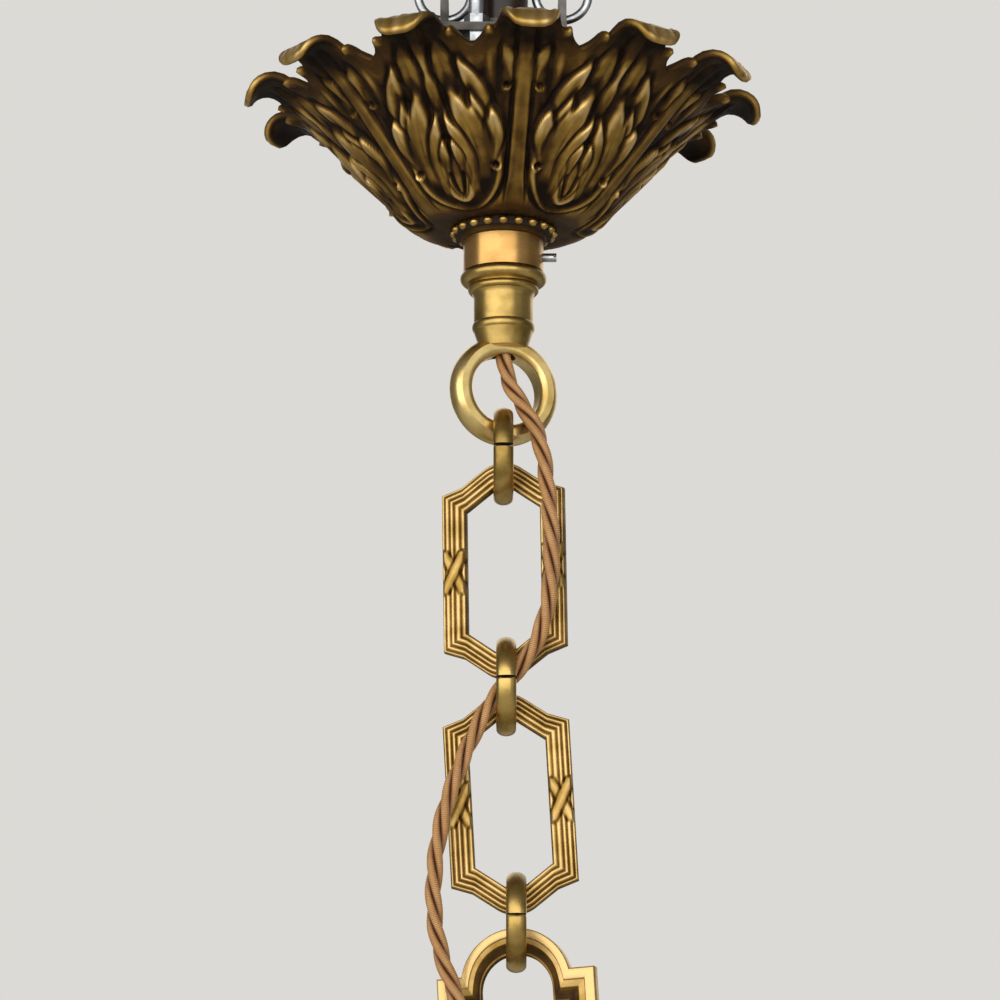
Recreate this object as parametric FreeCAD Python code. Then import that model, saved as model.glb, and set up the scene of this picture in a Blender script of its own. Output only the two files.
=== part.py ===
import FreeCAD, Part
import math
import os

from FreeCAD import Vector

os.makedirs("parts", exist_ok=True)

# Sizes are in millimetres. Z is up, X runs to the right of someone facing the lamp, and the origin
# is the middle of the plate's upper face, where it meets the ceiling.

# Ceiling plate with two turned-down ears
plate_length = 80.0
plate_width = 24.0
plate_thickness = 3.0
plate_hole_spacing = 60.0
plate_hole_radius = 2.5
supply_hole_radius = 7.0

# Ears of the plate and of the bracket, each with one hole for a hanging link
ear_spacing = 35.0
ear_thickness = 2.5
ear_width = 12.0
ear_hole_radius = 3.0
ear_neck = 1.0
ear_margin = 3.5

# Hanging links of round wire
wire_radius = 1.35
hanging_link_width = 18.4
hanging_link_height = 24.0
hang_gap = 0.45

# Bracket that the stem is bolted to
bracket_width = 27.0
bracket_thickness = 2.5

# Stem tube, its two nuts, and the terminal block on its upper end
stem_radius = 5.0
stem_bore_radius = 3.5
stem_clear_length = 71.0
stem_socket_depth = 10.0
nut_across_flats = 14.0
nut_height = 3.5
thread_fit = 0.02
block_radius = 7.4
block_height = 11.0
block_grip = 5.0
block_roof = 3.0
terminal_count = 3
terminal_circle_radius = 4.6
terminal_screw_radius = 1.4
terminal_head_radius = 2.0
terminal_head_height = 1.4

# Earth screw beside the stem
earth_x = -8.0
earth_y = -9.3
earth_radius = 2.3
earth_stand = 16.0
earth_across_flats = 6.4
earth_head_height = 3.0

# Collar that carries the canopy and slides on the stem
collar_radius = 11.8
collar_height = 9.6
spigot_radius = 8.0
spigot_height = 5.6
slide_fit = 0.06
turn_fit = 0.06
clamp_radius = 1.3
clamp_fit = 0.05
clamp_stand = 3.8
clamp_slot_width = 0.6
clamp_slot_depth = 0.9

# Canopy: a cast bowl of twelve leaves whose tips roll outwards
boss_radius = 12.6
boss_height = 4.1
canopy_height = 45.1
canopy_wall = 2.2
floor_radius = 20.0
bowl_low_radius = 33.0
bowl_low_rise = 6.6
bowl_high_drop = 11.2
flare_reach = 13.0
flare_drop = 0.8
lip_reach = 8.0
leaf_tip_radius = 75.0
leaf_tip_drop = 4.8
leaf_count = 12
leaf_turn = 6.4
leaf_notch_depth = 14.5
leaf_side_depth = 7.0
leaf_side_angle = 8.6
leaf_hollow_reach = 0.62
leaf_hollow_width = 0.12
bowl_bend_share = 0.36
flare_bend_share = 0.43
lip_bend_reach = 0.66
lip_bend_share = 0.13

# Relief on the bowl: a flat rib up every second leaf, and pointed leaflets beside the leaves between.
# A leaflet has its base and tip at a share of the angle from its own leaf to the ribbed one, and at a
# share of the way from the floor's edge to the flare.
relief_height = 0.8
relief_root = 0.6
rib_width = 4.4
rib_base = 0.13
rib_tip = 0.94
leaflets = [
    {"base": (0.30, 0.18), "tip": (0.07, 0.54), "half_width": 1.9},
    {"base": (0.48, 0.25), "tip": (0.22, 0.64), "half_width": 3.1},
    {"base": (0.63, 0.32), "tip": (0.67, 0.56), "half_width": 2.2},
    {"base": (0.61, 0.50), "tip": (0.36, 0.78), "half_width": 2.4},
]

# Beaded ring under the bowl
bead_count = 20
bead_radius = 1.4
bead_circle_radius = 14.5
bead_band_radius = 14.1
bead_band_height = 2.2

# Turned neck
neck_roll_radius = 12.7
neck_roll_height = 3.7
neck_groove_radius = 9.9
neck_groove_height = 0.5
neck_bead_radius = 10.4
neck_bead_height = 2.2
neck_cove_height = 1.8
neck_cove_share = 0.35
neck_radius = 8.7
neck_length = 7.3
neck_band_radius = 9.2
neck_band_height = 2.6
neck_foot_radius = 7.0
neck_foot_height = 5.0

# Loop below the neck, and the same loop on the body fitting
loop_drop = 36.1
loop_hole_radius = 10.6
loop_face_radius = 14.2
loop_outer_radius = 16.4
loop_thickness = 8.5
loop_edge_radius = 1.8
loop_yaw = 20.0
loop_gap = 1.4

# Split rings
ring_inner_radius = 10.3
ring_radial = 4.0
ring_axial = 5.8
ring_cut = 1.0
chain_gap = 0.9

# Reeded links 1 and 2
link_half_width = 18.2
link_side_half = 23.3
link_shoulder_x = 12.2
link_shoulder_z = 25.4
link_half_height = 32.0
link_apex_radius = 9.5
link_bar = 7.2
link_inner_side_drop = 5.3
link_inner_apex_radius = 5.0
link_thickness = 5.4
link_edge = 1.2

# Arched link 3: outer line, inner line, and the raised band along the outer line
arch_half_width = 22.8
arch_shoulder_z = 20.3
arch_radius = 15.9
arch_half_height = 33.0
arch_bar = 7.5
arch_inner_half_width = 13.8
arch_inner_shoulder_z = 10.5
arch_inner_radius = 10.3
arch_band_width = 4.4
arch_web_thickness = 3.2

# How each link hangs: turn about its own upright axis, and lean in the face-on view
link_yaws = [-14.0, -2.0, -12.0]
link_leans = [0.9, 3.2, 3.4]

# Body fitting at the chain's lower end
socket_radius = 8.4
socket_collar_radius = 11.0
socket_collar_height = 8.0
socket_drop = 36.0
thread_radius = 4.46
thread_depth = 12.0

# Twisted flex: three covered cores, drawn here as one round cord
flex_radius = 2.8
flex_start_rise = 4.8
flex_end_drop = 20.0
flex_arc_share = 0.45


# Heights and radii that follow from the sizes above, from the ceiling down
plate_ear_z = -(plate_thickness + ear_neck + ear_hole_radius)
upper_wire_z = plate_ear_z - ear_hole_radius + hang_gap + wire_radius
lower_wire_z = upper_wire_z - hanging_link_height + 2 * wire_radius
bracket_ear_z = lower_wire_z + wire_radius + hang_gap - ear_hole_radius
bracket_top_z = bracket_ear_z - ear_hole_radius - ear_neck
bracket_bottom_z = bracket_top_z - bracket_thickness
block_bottom_z = bracket_top_z + nut_height
stem_top_z = block_bottom_z + block_grip
neck_top_z = bracket_bottom_z - stem_clear_length
seat_z = neck_top_z + collar_height
rim_z = seat_z + canopy_height
flare_radius = leaf_tip_radius - lip_reach
bowl_high_radius = flare_radius - flare_reach
leaf_side_radius = leaf_tip_radius - leaf_side_depth
leaf_notch_radius = leaf_tip_radius - leaf_notch_depth
clamp_z = neck_top_z + collar_height / 2
loop_z = neck_top_z - loop_drop


def cylinder(radius, bottom, top, x=0.0, y=0.0):
    return Part.makeCylinder(radius, top - bottom, Vector(x, y, bottom))


def box(x_size, y_size, bottom, top, x=0.0, y=0.0):
    corner = Vector(x - x_size / 2, y - y_size / 2, bottom)
    return Part.makeBox(x_size, y_size, top - bottom, corner)


def x_rod(radius, start, end, z):
    return Part.makeCylinder(radius, end - start, Vector(start, 0, z), Vector(1, 0, 0))


def line(a, b):
    return Part.LineSegment(a, b).toShape()


def arc(a, middle, b):
    return Part.Arc(a, middle, b).toShape()


def side(radius, z):
    return Vector(radius, 0, z)


def turned(edges):
    face = Part.Face(Part.Wire(edges))
    return face.revolve(Vector(0, 0, 0), Vector(0, 0, 1), 360)


def hexagon(across_flats, bottom, top, x=0.0, y=0.0):
    corner_radius = across_flats / math.sqrt(3)
    corners = []
    for i in range(7):
        angle = math.radians(60 * i)
        corners.append(Vector(x + corner_radius * math.cos(angle), y + corner_radius * math.sin(angle), bottom))
    return Part.Face(Part.makePolygon(corners)).extrude(Vector(0, 0, top - bottom))


# Each ear is a square-ended tongue that reaches from its sheet past the hole
def eared_sheet(sheet, sheet_edge_z, ear_z):
    end_z = ear_z - math.copysign(ear_margin + ear_hole_radius, sheet_edge_z - ear_z)
    for x in (-ear_spacing / 2, ear_spacing / 2):
        sheet = sheet.fuse(box(ear_thickness, ear_width, min(sheet_edge_z, end_z), max(sheet_edge_z, end_z), x))
        sheet = sheet.cut(x_rod(ear_hole_radius, x - ear_thickness, x + ear_thickness, ear_z))
    return sheet.removeSplitter()


def make_ceiling_plate():
    sheet = box(plate_length, plate_width, -plate_thickness, 0)
    sheet = sheet.cut(cylinder(supply_hole_radius, -plate_thickness, 0))
    for x in (-plate_hole_spacing / 2, plate_hole_spacing / 2):
        sheet = sheet.cut(cylinder(plate_hole_radius, -plate_thickness, 0, x))
    return eared_sheet(sheet, -plate_thickness, plate_ear_z)


def make_hanging_link(x):
    bend = hanging_link_width / 2 - wire_radius
    high = upper_wire_z - bend
    low = lower_wire_z + bend
    legs = [cylinder(wire_radius, low, high, x - bend), cylinder(wire_radius, low, high, x + bend)]
    circle = Part.makeCircle(wire_radius, Vector(x + bend, 0, high), Vector(0, 0, 1))
    top_bend = Part.Face(Part.Wire(circle)).revolve(Vector(x, 0, high), Vector(0, -1, 0), 180)
    bottom_bend = top_bend.mirror(Vector(x, 0, (upper_wire_z + lower_wire_z) / 2), Vector(0, 0, 1))
    return legs[0].fuse([legs[1], top_bend, bottom_bend]).removeSplitter()


def make_hanger_bracket():
    length = ear_spacing + ear_thickness
    sheet = box(length, bracket_width, bracket_bottom_z, bracket_top_z)
    sheet = sheet.cut(cylinder(stem_radius + thread_fit, bracket_bottom_z, bracket_top_z))
    sheet = sheet.cut(cylinder(earth_radius + thread_fit, bracket_bottom_z, bracket_top_z, earth_x, earth_y))
    return eared_sheet(sheet, bracket_bottom_z, bracket_ear_z)


def make_stem_tube():
    bottom = neck_top_z - stem_socket_depth
    return cylinder(stem_radius, bottom, stem_top_z).cut(cylinder(stem_bore_radius, bottom, stem_top_z))


def make_stem_nut(bottom):
    nut = hexagon(nut_across_flats, bottom, bottom + nut_height)
    return nut.cut(cylinder(stem_radius + thread_fit, bottom, bottom + nut_height))


def terminal_places():
    places = []
    for i in range(terminal_count):
        angle = math.radians(90 + 360 * i / terminal_count)
        places.append((terminal_circle_radius * math.cos(angle), terminal_circle_radius * math.sin(angle)))
    return places


def make_terminal_block():
    top = block_bottom_z + block_height
    block = cylinder(block_radius, block_bottom_z, top)
    block = block.cut(cylinder(stem_radius + thread_fit, block_bottom_z, stem_top_z))
    block = block.cut(cylinder(stem_bore_radius, stem_top_z, top - block_roof))
    for x, y in terminal_places():
        block = block.cut(cylinder(terminal_screw_radius + thread_fit, top - block_roof, top, x, y))
    return block


def make_terminal_screws():
    top = block_bottom_z + block_height
    screws = []
    for x, y in terminal_places():
        head = cylinder(terminal_head_radius, top, top + terminal_head_height, x, y)
        slot = box(2 * terminal_head_radius, clamp_slot_width, top + terminal_head_height / 2,
                   top + terminal_head_height, x, y)
        screws.append(cylinder(terminal_screw_radius, top - block_roof, top, x, y).fuse(head.cut(slot)))
    return Part.makeCompound(screws)


def make_earth_screw():
    head = hexagon(earth_across_flats, bracket_bottom_z - earth_head_height, bracket_bottom_z, earth_x, earth_y)
    return head.fuse(cylinder(earth_radius, bracket_bottom_z, bracket_top_z + earth_stand, earth_x, earth_y))


def make_earth_nut():
    nut = hexagon(earth_across_flats, bracket_top_z, bracket_top_z + earth_head_height, earth_x, earth_y)
    return nut.cut(cylinder(earth_radius + thread_fit, bracket_top_z, bracket_top_z + earth_head_height,
                            earth_x, earth_y))


def make_collar():
    collar = cylinder(collar_radius, neck_top_z, seat_z).fuse(cylinder(spigot_radius, seat_z, seat_z + spigot_height))
    collar = collar.cut(cylinder(stem_radius + slide_fit, neck_top_z, seat_z + spigot_height))
    return collar.cut(x_rod(clamp_radius + clamp_fit, stem_radius, collar_radius + clamp_stand, clamp_z))


def make_collar_screw():
    start = stem_radius + slide_fit
    end = collar_radius + clamp_stand
    screw = x_rod(clamp_radius, start, end, clamp_z)
    slot = box(2 * clamp_slot_depth, 2 * clamp_radius, clamp_z - clamp_slot_width / 2,
               clamp_z + clamp_slot_width / 2, end)
    return screw.cut(slot)


# A line of edges moved square to itself: each joint moves along the mean of its two edges' normals
def moved(edges, distance):
    def normal(edge, parameter):
        along = edge.tangentAt(parameter)
        return Vector(-along.z, 0, along.x)

    first, last = edges[0], edges[-1]
    points = [first.valueAt(first.FirstParameter) + normal(first, first.FirstParameter) * distance]
    for before, after in zip(edges[:-1], edges[1:]):
        mean = normal(before, before.LastParameter) + normal(after, after.FirstParameter)
        points.append(after.valueAt(after.FirstParameter) + mean.normalize() * distance)
    points.append(last.valueAt(last.LastParameter) + normal(last, last.LastParameter) * distance)
    result = []
    for edge, start, end in zip(edges, points[:-1], points[1:]):
        if isinstance(edge.Curve, Part.Line):
            result.append(line(start, end))
        else:
            half_way = (edge.FirstParameter + edge.LastParameter) / 2
            result.append(arc(start, edge.valueAt(half_way) + normal(edge, half_way) * distance, end))
    return result


# Revolved wall between two lines of edges that run the same way
def walled(outer, inner):
    def end_points(edges):
        return edges[0].valueAt(edges[0].FirstParameter), edges[-1].valueAt(edges[-1].LastParameter)

    outer_start, outer_end = end_points(outer)
    inner_start, inner_end = end_points(inner)
    return turned(outer + [line(outer_end, inner_end)] + inner[::-1] + [line(inner_start, outer_start)])


def bowl_radius(share):
    return floor_radius + share * (flare_radius - floor_radius)


# Upright prism over a leaflet's plan, which is two arcs between its base and its tip
def leaflet_prism(leaflet, mirror):
    def place(share, radius_share):
        turn = math.radians(mirror * share * 360 / leaf_count)
        radius = bowl_radius(radius_share)
        return Vector(radius * math.cos(turn), radius * math.sin(turn), seat_z)

    base, tip = place(*leaflet["base"]), place(*leaflet["tip"])
    along = tip - base
    across = Vector(-along.y, along.x, 0).normalize() * leaflet["half_width"]
    middle = (base + tip) / 2
    plan = Part.Face(Part.Wire([arc(base, middle + across, tip), arc(tip, middle - across, base)]))
    return plan.extrude(Vector(0, 0, canopy_height))


# Relief of one ribbed leaf and one plain leaf, cut from a layer that starts inside the wall
def make_relief(outer):
    layer = walled(moved(outer, -relief_height), moved(outer, relief_root))
    prisms = [leaflet_prism(leaflet, mirror) for leaflet in leaflets for mirror in (-1, 1)]
    rib_length = bowl_radius(rib_tip) - bowl_radius(rib_base)
    rib = box(rib_length, rib_width, seat_z, rim_z, bowl_radius(rib_base) + rib_length / 2)
    rib.rotate(Vector(0, 0, 0), Vector(0, 0, 1), 360 / leaf_count)
    prisms.append(rib)
    relief = layer.common(prisms[0].fuse(prisms[1:]))
    relief.rotate(Vector(0, 0, 0), Vector(0, 0, 1), leaf_turn - 90 - 360 / leaf_count)
    return relief


# Plan of the leaves: hollow arcs run from the notches to the leaf's sides, and one arc is each tip
def leaf_plan():
    def place(radius, angle):
        turn = math.radians(angle - 90 + leaf_turn)
        return Vector(radius * math.cos(turn), radius * math.sin(turn), seat_z)

    pitch = 360 / leaf_count
    bend_radius = leaf_notch_radius + leaf_hollow_reach * (leaf_side_radius - leaf_notch_radius)
    edges = []
    for i in range(leaf_count):
        middle = i * pitch
        left, right = middle - leaf_side_angle, middle + leaf_side_angle
        bend_angle = leaf_side_angle + leaf_hollow_width * (pitch / 2 - leaf_side_angle)
        edges.append(arc(place(leaf_notch_radius, middle - pitch / 2), place(bend_radius, middle - bend_angle),
                         place(leaf_side_radius, left)))
        edges.append(arc(place(leaf_side_radius, left), place(leaf_tip_radius, middle),
                         place(leaf_side_radius, right)))
        edges.append(arc(place(leaf_side_radius, right), place(bend_radius, middle + bend_angle),
                         place(leaf_notch_radius, middle + pitch / 2)))
    return Part.Face(Part.Wire(edges))


# The bowl's outer line rises from its floor, flares, and rolls over at the lip
def make_canopy():
    floor_z = seat_z + boss_height
    low = side(bowl_low_radius, floor_z + bowl_low_rise)
    high = side(bowl_high_radius, rim_z - bowl_high_drop)
    flare = side(flare_radius, rim_z - flare_drop)
    tip = side(leaf_tip_radius, rim_z - leaf_tip_drop)
    low_bend = side((floor_radius + 2 * bowl_low_radius) / 3, floor_z + bowl_bend_share * bowl_low_rise)
    flare_bend = side((bowl_high_radius + flare_radius) / 2, rim_z - flare_bend_share * (bowl_high_drop + flare_drop))
    lip_bend = side(flare_radius + lip_bend_reach * (leaf_tip_radius - flare_radius),
                    rim_z - lip_bend_share * leaf_tip_drop)
    outer = [
        line(side(boss_radius - canopy_wall, floor_z), side(floor_radius, floor_z)),
        arc(side(floor_radius, floor_z), low_bend, low),
        line(low, high),
        arc(high, flare_bend, flare),
        arc(flare, lip_bend, tip),
    ]
    shell = walled(outer, moved(outer, canopy_wall))
    shell = shell.common(leaf_plan().extrude(Vector(0, 0, canopy_height + canopy_wall + boss_height)))
    shell = shell.fuse(cylinder(boss_radius, seat_z, floor_z + canopy_wall))
    relief = make_relief(outer[1:4])
    for i in range(leaf_count // 2):
        turned_relief = relief.copy()
        turned_relief.rotate(Vector(0, 0, 0), Vector(0, 0, 1), 720 / leaf_count * i)
        shell = shell.fuse(turned_relief)
    return shell.cut(cylinder(spigot_radius + turn_fit, seat_z, floor_z + canopy_wall)).removeSplitter()


def make_bead_ring():
    middle = seat_z + boss_height - bead_radius
    ring = cylinder(bead_band_radius, middle - bead_band_height / 2, middle + bead_band_height / 2)
    beads = []
    for i in range(bead_count):
        angle = math.radians(360 * i / bead_count)
        outward = Vector(math.cos(angle), math.sin(angle), 0)
        centre = outward * bead_circle_radius + Vector(0, 0, middle)
        beads.append(Part.makeSphere(bead_radius, centre, outward))
    ring = ring.fuse(beads)
    return ring.cut(cylinder(boss_radius + thread_fit, seat_z, seat_z + boss_height))


def loop_section(centre_z):
    half = loop_thickness / 2
    flat = half - loop_edge_radius
    slant = loop_edge_radius * (1 - math.sqrt(0.5))
    inner = loop_hole_radius

    def place(radius, across):
        return Vector(radius, across, centre_z)

    edges = [
        line(place(inner, -flat), place(inner, flat)),
        arc(place(inner, flat), place(inner + slant, half - slant), place(inner + loop_edge_radius, half)),
        line(place(inner + loop_edge_radius, half), place(loop_face_radius, half)),
        arc(place(loop_face_radius, half), place(loop_outer_radius, 0), place(loop_face_radius, -half)),
        line(place(loop_face_radius, -half), place(inner + loop_edge_radius, -half)),
        arc(place(inner + loop_edge_radius, -half), place(inner + slant, slant - half), place(inner, -flat)),
    ]
    return Part.Face(Part.Wire(edges))


def make_loop(x, centre_z, yaw):
    loop = loop_section(centre_z).revolve(Vector(0, 0, centre_z), Vector(0, 1, 0), 360)
    loop.rotate(Vector(0, 0, 0), Vector(0, 0, 1), yaw)
    loop.translate(Vector(x, 0, 0))
    return loop


def make_loop_ring():
    loop = make_loop(0, loop_z, loop_yaw)
    return loop.cut(cylinder(stem_bore_radius, loop_z, loop_z + loop_outer_radius))


def make_neck():
    heights = [0, neck_roll_height, neck_groove_height, neck_bead_height, neck_cove_height, neck_length,
               neck_band_height, neck_foot_height]
    levels = [neck_top_z - sum(heights[:i + 1]) for i in range(len(heights))]
    top, roll, groove, bead, cove, shaft, band, foot = levels
    roll_root = neck_roll_radius - neck_roll_height / 2
    bead_root = neck_bead_radius - neck_bead_height / 2
    cove_radius = neck_radius + neck_cove_share * (bead_root - neck_radius)
    neck = turned([
        line(side(stem_bore_radius, top), side(roll_root, top)),
        arc(side(roll_root, top), side(neck_roll_radius, (top + roll) / 2), side(roll_root, roll)),
        line(side(roll_root, roll), side(neck_groove_radius, roll)),
        line(side(neck_groove_radius, roll), side(neck_groove_radius, groove)),
        line(side(neck_groove_radius, groove), side(bead_root, groove)),
        arc(side(bead_root, groove), side(neck_bead_radius, (groove + bead) / 2), side(bead_root, bead)),
        arc(side(bead_root, bead), side(cove_radius, (bead + cove) / 2), side(neck_radius, cove)),
        line(side(neck_radius, cove), side(neck_radius, shaft)),
        arc(side(neck_radius, shaft), side(neck_band_radius, (shaft + band) / 2), side(neck_radius, band)),
        line(side(neck_radius, band), side(neck_foot_radius, foot)),
        line(side(neck_foot_radius, foot), side(stem_bore_radius, foot)),
        line(side(stem_bore_radius, foot), side(stem_bore_radius, top)),
    ])
    neck = neck.cut(cylinder(stem_radius + thread_fit, neck_top_z - stem_socket_depth, neck_top_z))
    return neck.cut(make_loop(0, loop_z, loop_yaw))


# A closed ring of oval section, sawn through on the side that faces front
def make_split_ring(x, centre_z):
    middle = ring_inner_radius + ring_radial / 2
    centre = Vector(0, middle, 0)
    if ring_axial > ring_radial:
        oval = Part.Ellipse(centre + Vector(ring_axial / 2, 0, 0), centre + Vector(0, ring_radial / 2, 0), centre)
    else:
        oval = Part.Ellipse(centre + Vector(0, ring_radial / 2, 0), centre + Vector(ring_axial / 2, 0, 0), centre)
    ring = Part.Face(Part.Wire(oval.toShape())).revolve(Vector(0, 0, 0), Vector(1, 0, 0), 360)
    ring = ring.cut(box(2 * ring_axial, 2 * ring_radial, -ring_cut / 2, ring_cut / 2, 0, -middle))
    ring.translate(Vector(x, 0, centre_z))
    return ring


# A flat frame between two outlines, as thick as depth about the middle plane
def frame_layer(outside, inside, depth):
    slab = Part.Face(outside).extrude(Vector(0, depth, 0)).cut(Part.Face(inside).extrude(Vector(0, depth, 0)))
    slab.translate(Vector(0, -depth / 2, 0))
    return slab


# Links 1 and 2 are bars that follow their outline, thickest along the middle of the bar's width
def make_reeded_link():
    outer_corners = [(link_half_width, link_side_half), (link_shoulder_x, link_shoulder_z)]
    inner_corners = [(link_half_width - link_bar, link_side_half - link_inner_side_drop)]
    outer = Part.Wire(canted_outline(outer_corners, link_half_height, link_apex_radius))
    inner = Part.Wire(canted_outline(inner_corners, link_half_height - link_bar, link_inner_apex_radius))
    low = frame_layer(outer, inner, link_thickness - 2 * link_edge)
    high = frame_layer(outer.makeOffset2D(-link_edge, 2), inner.makeOffset2D(link_edge, 2), link_thickness)
    return low.fuse(high).removeSplitter()


# Link 3 is a thin web with a thick band along its outer line
def make_arched_link():
    inner_apex = arch_half_height - arch_bar
    outer = Part.Wire(arched_outline(arch_half_width, arch_shoulder_z, arch_radius, arch_half_height))
    inner = Part.Wire(arched_outline(arch_inner_half_width, arch_inner_shoulder_z, arch_inner_radius, inner_apex))
    web = frame_layer(outer, inner, arch_web_thickness)
    band = frame_layer(outer, outer.makeOffset2D(-arch_band_width, 2), link_thickness)
    return web.fuse(band).removeSplitter()


# Upright sides, then the corners up to the foot of a straight flank, which touches a rounded apex
def canted_outline(corners, apex, apex_radius):
    foot_x, foot_z = corners[-1]
    centre_z = apex - apex_radius
    reach = math.hypot(foot_x, foot_z - centre_z)
    touch = math.atan2(foot_z - centre_z, foot_x) + math.acos(apex_radius / reach)
    points = corners + [(apex_radius * math.cos(touch), centre_z + apex_radius * math.sin(touch))]
    edges = []
    for sign in (1, -1):
        rising = [Vector(sign * x, 0, sign * z) for x, z in points]
        falling = [Vector(-sign * x, 0, sign * z) for x, z in reversed(points)]
        foot = Vector(falling[-1].x, 0, -falling[-1].z)
        edges += [line(a, b) for a, b in zip(rising, rising[1:])]
        edges.append(arc(rising[-1], Vector(0, 0, sign * apex), falling[0]))
        edges += [line(a, b) for a, b in zip(falling, falling[1:])]
        edges.append(line(falling[-1], foot))
    return edges


# A box with square shoulders and a half-round arch at each end, on straight sides where the arch is narrow
def arched_outline(half_width, shoulder, radius, apex):
    def place(x, z):
        return Vector(x, 0, z)

    spring = max(apex - radius, shoulder)
    foot = math.sqrt(radius ** 2 - (spring - apex + radius) ** 2)
    corners = [place(-half_width, -shoulder), place(-half_width, shoulder), place(-foot, shoulder)]
    edges = [line(corners[0], corners[1]), line(corners[1], corners[2])]
    if spring > shoulder:
        edges.append(line(corners[2], place(-foot, spring)))
    edges.append(arc(place(-foot, spring), place(0, apex), place(foot, spring)))
    if spring > shoulder:
        edges.append(line(place(foot, spring), place(foot, shoulder)))
    edges.append(line(place(foot, shoulder), place(half_width, shoulder)))
    lower = []
    for edge in edges[1:]:
        lower.append(edge.mirror(Vector(0, 0, 0), Vector(0, 0, 1)))
    closing = line(place(half_width, shoulder), place(half_width, -shoulder))
    return edges + [closing] + lower[::-1]


# Hangs a link by the ring bar above it: turned about its upright axis, then leaned about that bar
def hang(link, yaw, lean, pivot, drop):
    link.rotate(Vector(0, 0, 0), Vector(0, 0, 1), yaw)
    link.translate(Vector(0, 0, -drop))
    link.rotate(Vector(0, 0, 0), Vector(0, 1, 0), -lean)
    link.translate(pivot)
    return link


# Body fitting: a loop over a hollow socket with a female thread at its foot
def make_body_loop(x, centre_z):
    foot = centre_z - socket_drop
    step = foot + socket_collar_height
    loop = make_loop(x, centre_z, 0)
    socket = cylinder(socket_radius, step, centre_z - loop_hole_radius, x)
    socket = socket.cut(Part.makeCylinder(loop_hole_radius, 4 * socket_radius,
                                          Vector(x, -2 * socket_radius, centre_z), Vector(0, 1, 0)))
    socket = socket.fuse(cylinder(socket_collar_radius, foot, step, x))
    loop = loop.fuse(socket)
    loop = loop.cut(cylinder(stem_bore_radius, foot, centre_z, x))
    return loop.cut(cylinder(thread_radius, foot, foot + thread_depth, x)).removeSplitter()


# A cord of straight runs joined by the largest arcs that its runs allow
def cord(points, radius):
    runs = [(b - a).Length for a, b in zip(points, points[1:])]
    edges = []
    radii = []
    start = points[0]
    for i in range(1, len(points) - 1):
        back = (points[i - 1] - points[i]).normalize()
        ahead = (points[i + 1] - points[i]).normalize()
        half_turn = (math.pi - back.getAngle(ahead)) / 2
        tangent = flex_arc_share * min(runs[i - 1], runs[i])
        bend = tangent / math.tan(half_turn)
        to_middle = bend / math.cos(half_turn) - bend
        first = points[i] + back * tangent
        last = points[i] + ahead * tangent
        middle = points[i] + (back + ahead).normalize() * to_middle
        edges.append(line(start, first))
        edges.append(arc(first, middle, last))
        radii.append(bend)
        start = last
    edges.append(line(start, points[-1]))
    path = Part.Wire(edges)
    circle = Part.makeCircle(radius, points[0], points[1] - points[0])
    tube = path.makePipeShell([Part.Wire(circle)], True, False)
    share = tube.Volume / (math.pi * radius ** 2 * path.Length)
    print("cord length %.1f, volume share %.4f" % (path.Length, share))
    print("cord radii", [round(r, 1) for r in radii])
    return tube


# The chain, from the neck's loop down. Rings hang on the bar above them, and links on the ring above.
ring_half = ring_radial / 2
link_half_opening = link_half_height - link_bar
arch_half_opening = arch_half_height - arch_bar
ring_centres = [Vector(0, 0, loop_z - loop_hole_radius + loop_gap - ring_inner_radius)]
ring_pivots = [Vector(0, 0, loop_z - (loop_hole_radius + loop_outer_radius) / 2)]
link_pivots = []
link_drops = []
for lean, opening, bar in zip(link_leans, [link_half_opening, link_half_opening, arch_half_opening],
                              [link_bar, link_bar, arch_bar]):
    pivot = ring_centres[-1] - Vector(0, 0, ring_inner_radius + ring_half)
    drop = opening - chain_gap - ring_half
    reach = drop + opening + bar / 2
    tilt = math.radians(lean)
    lower_bar = pivot + Vector(reach * math.sin(tilt), 0, -reach * math.cos(tilt))
    link_pivots.append(pivot)
    link_drops.append(drop)
    ring_pivots.append(lower_bar)
    ring_centres.append(lower_bar + Vector(0, 0, bar / 2 + chain_gap - ring_inner_radius))

body_pivot = ring_centres[-1] - Vector(0, 0, ring_inner_radius + ring_half)
body_x = body_pivot.x
body_z = body_pivot.z + ring_half + loop_gap - loop_hole_radius
body_foot_z = body_z - socket_drop

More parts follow.
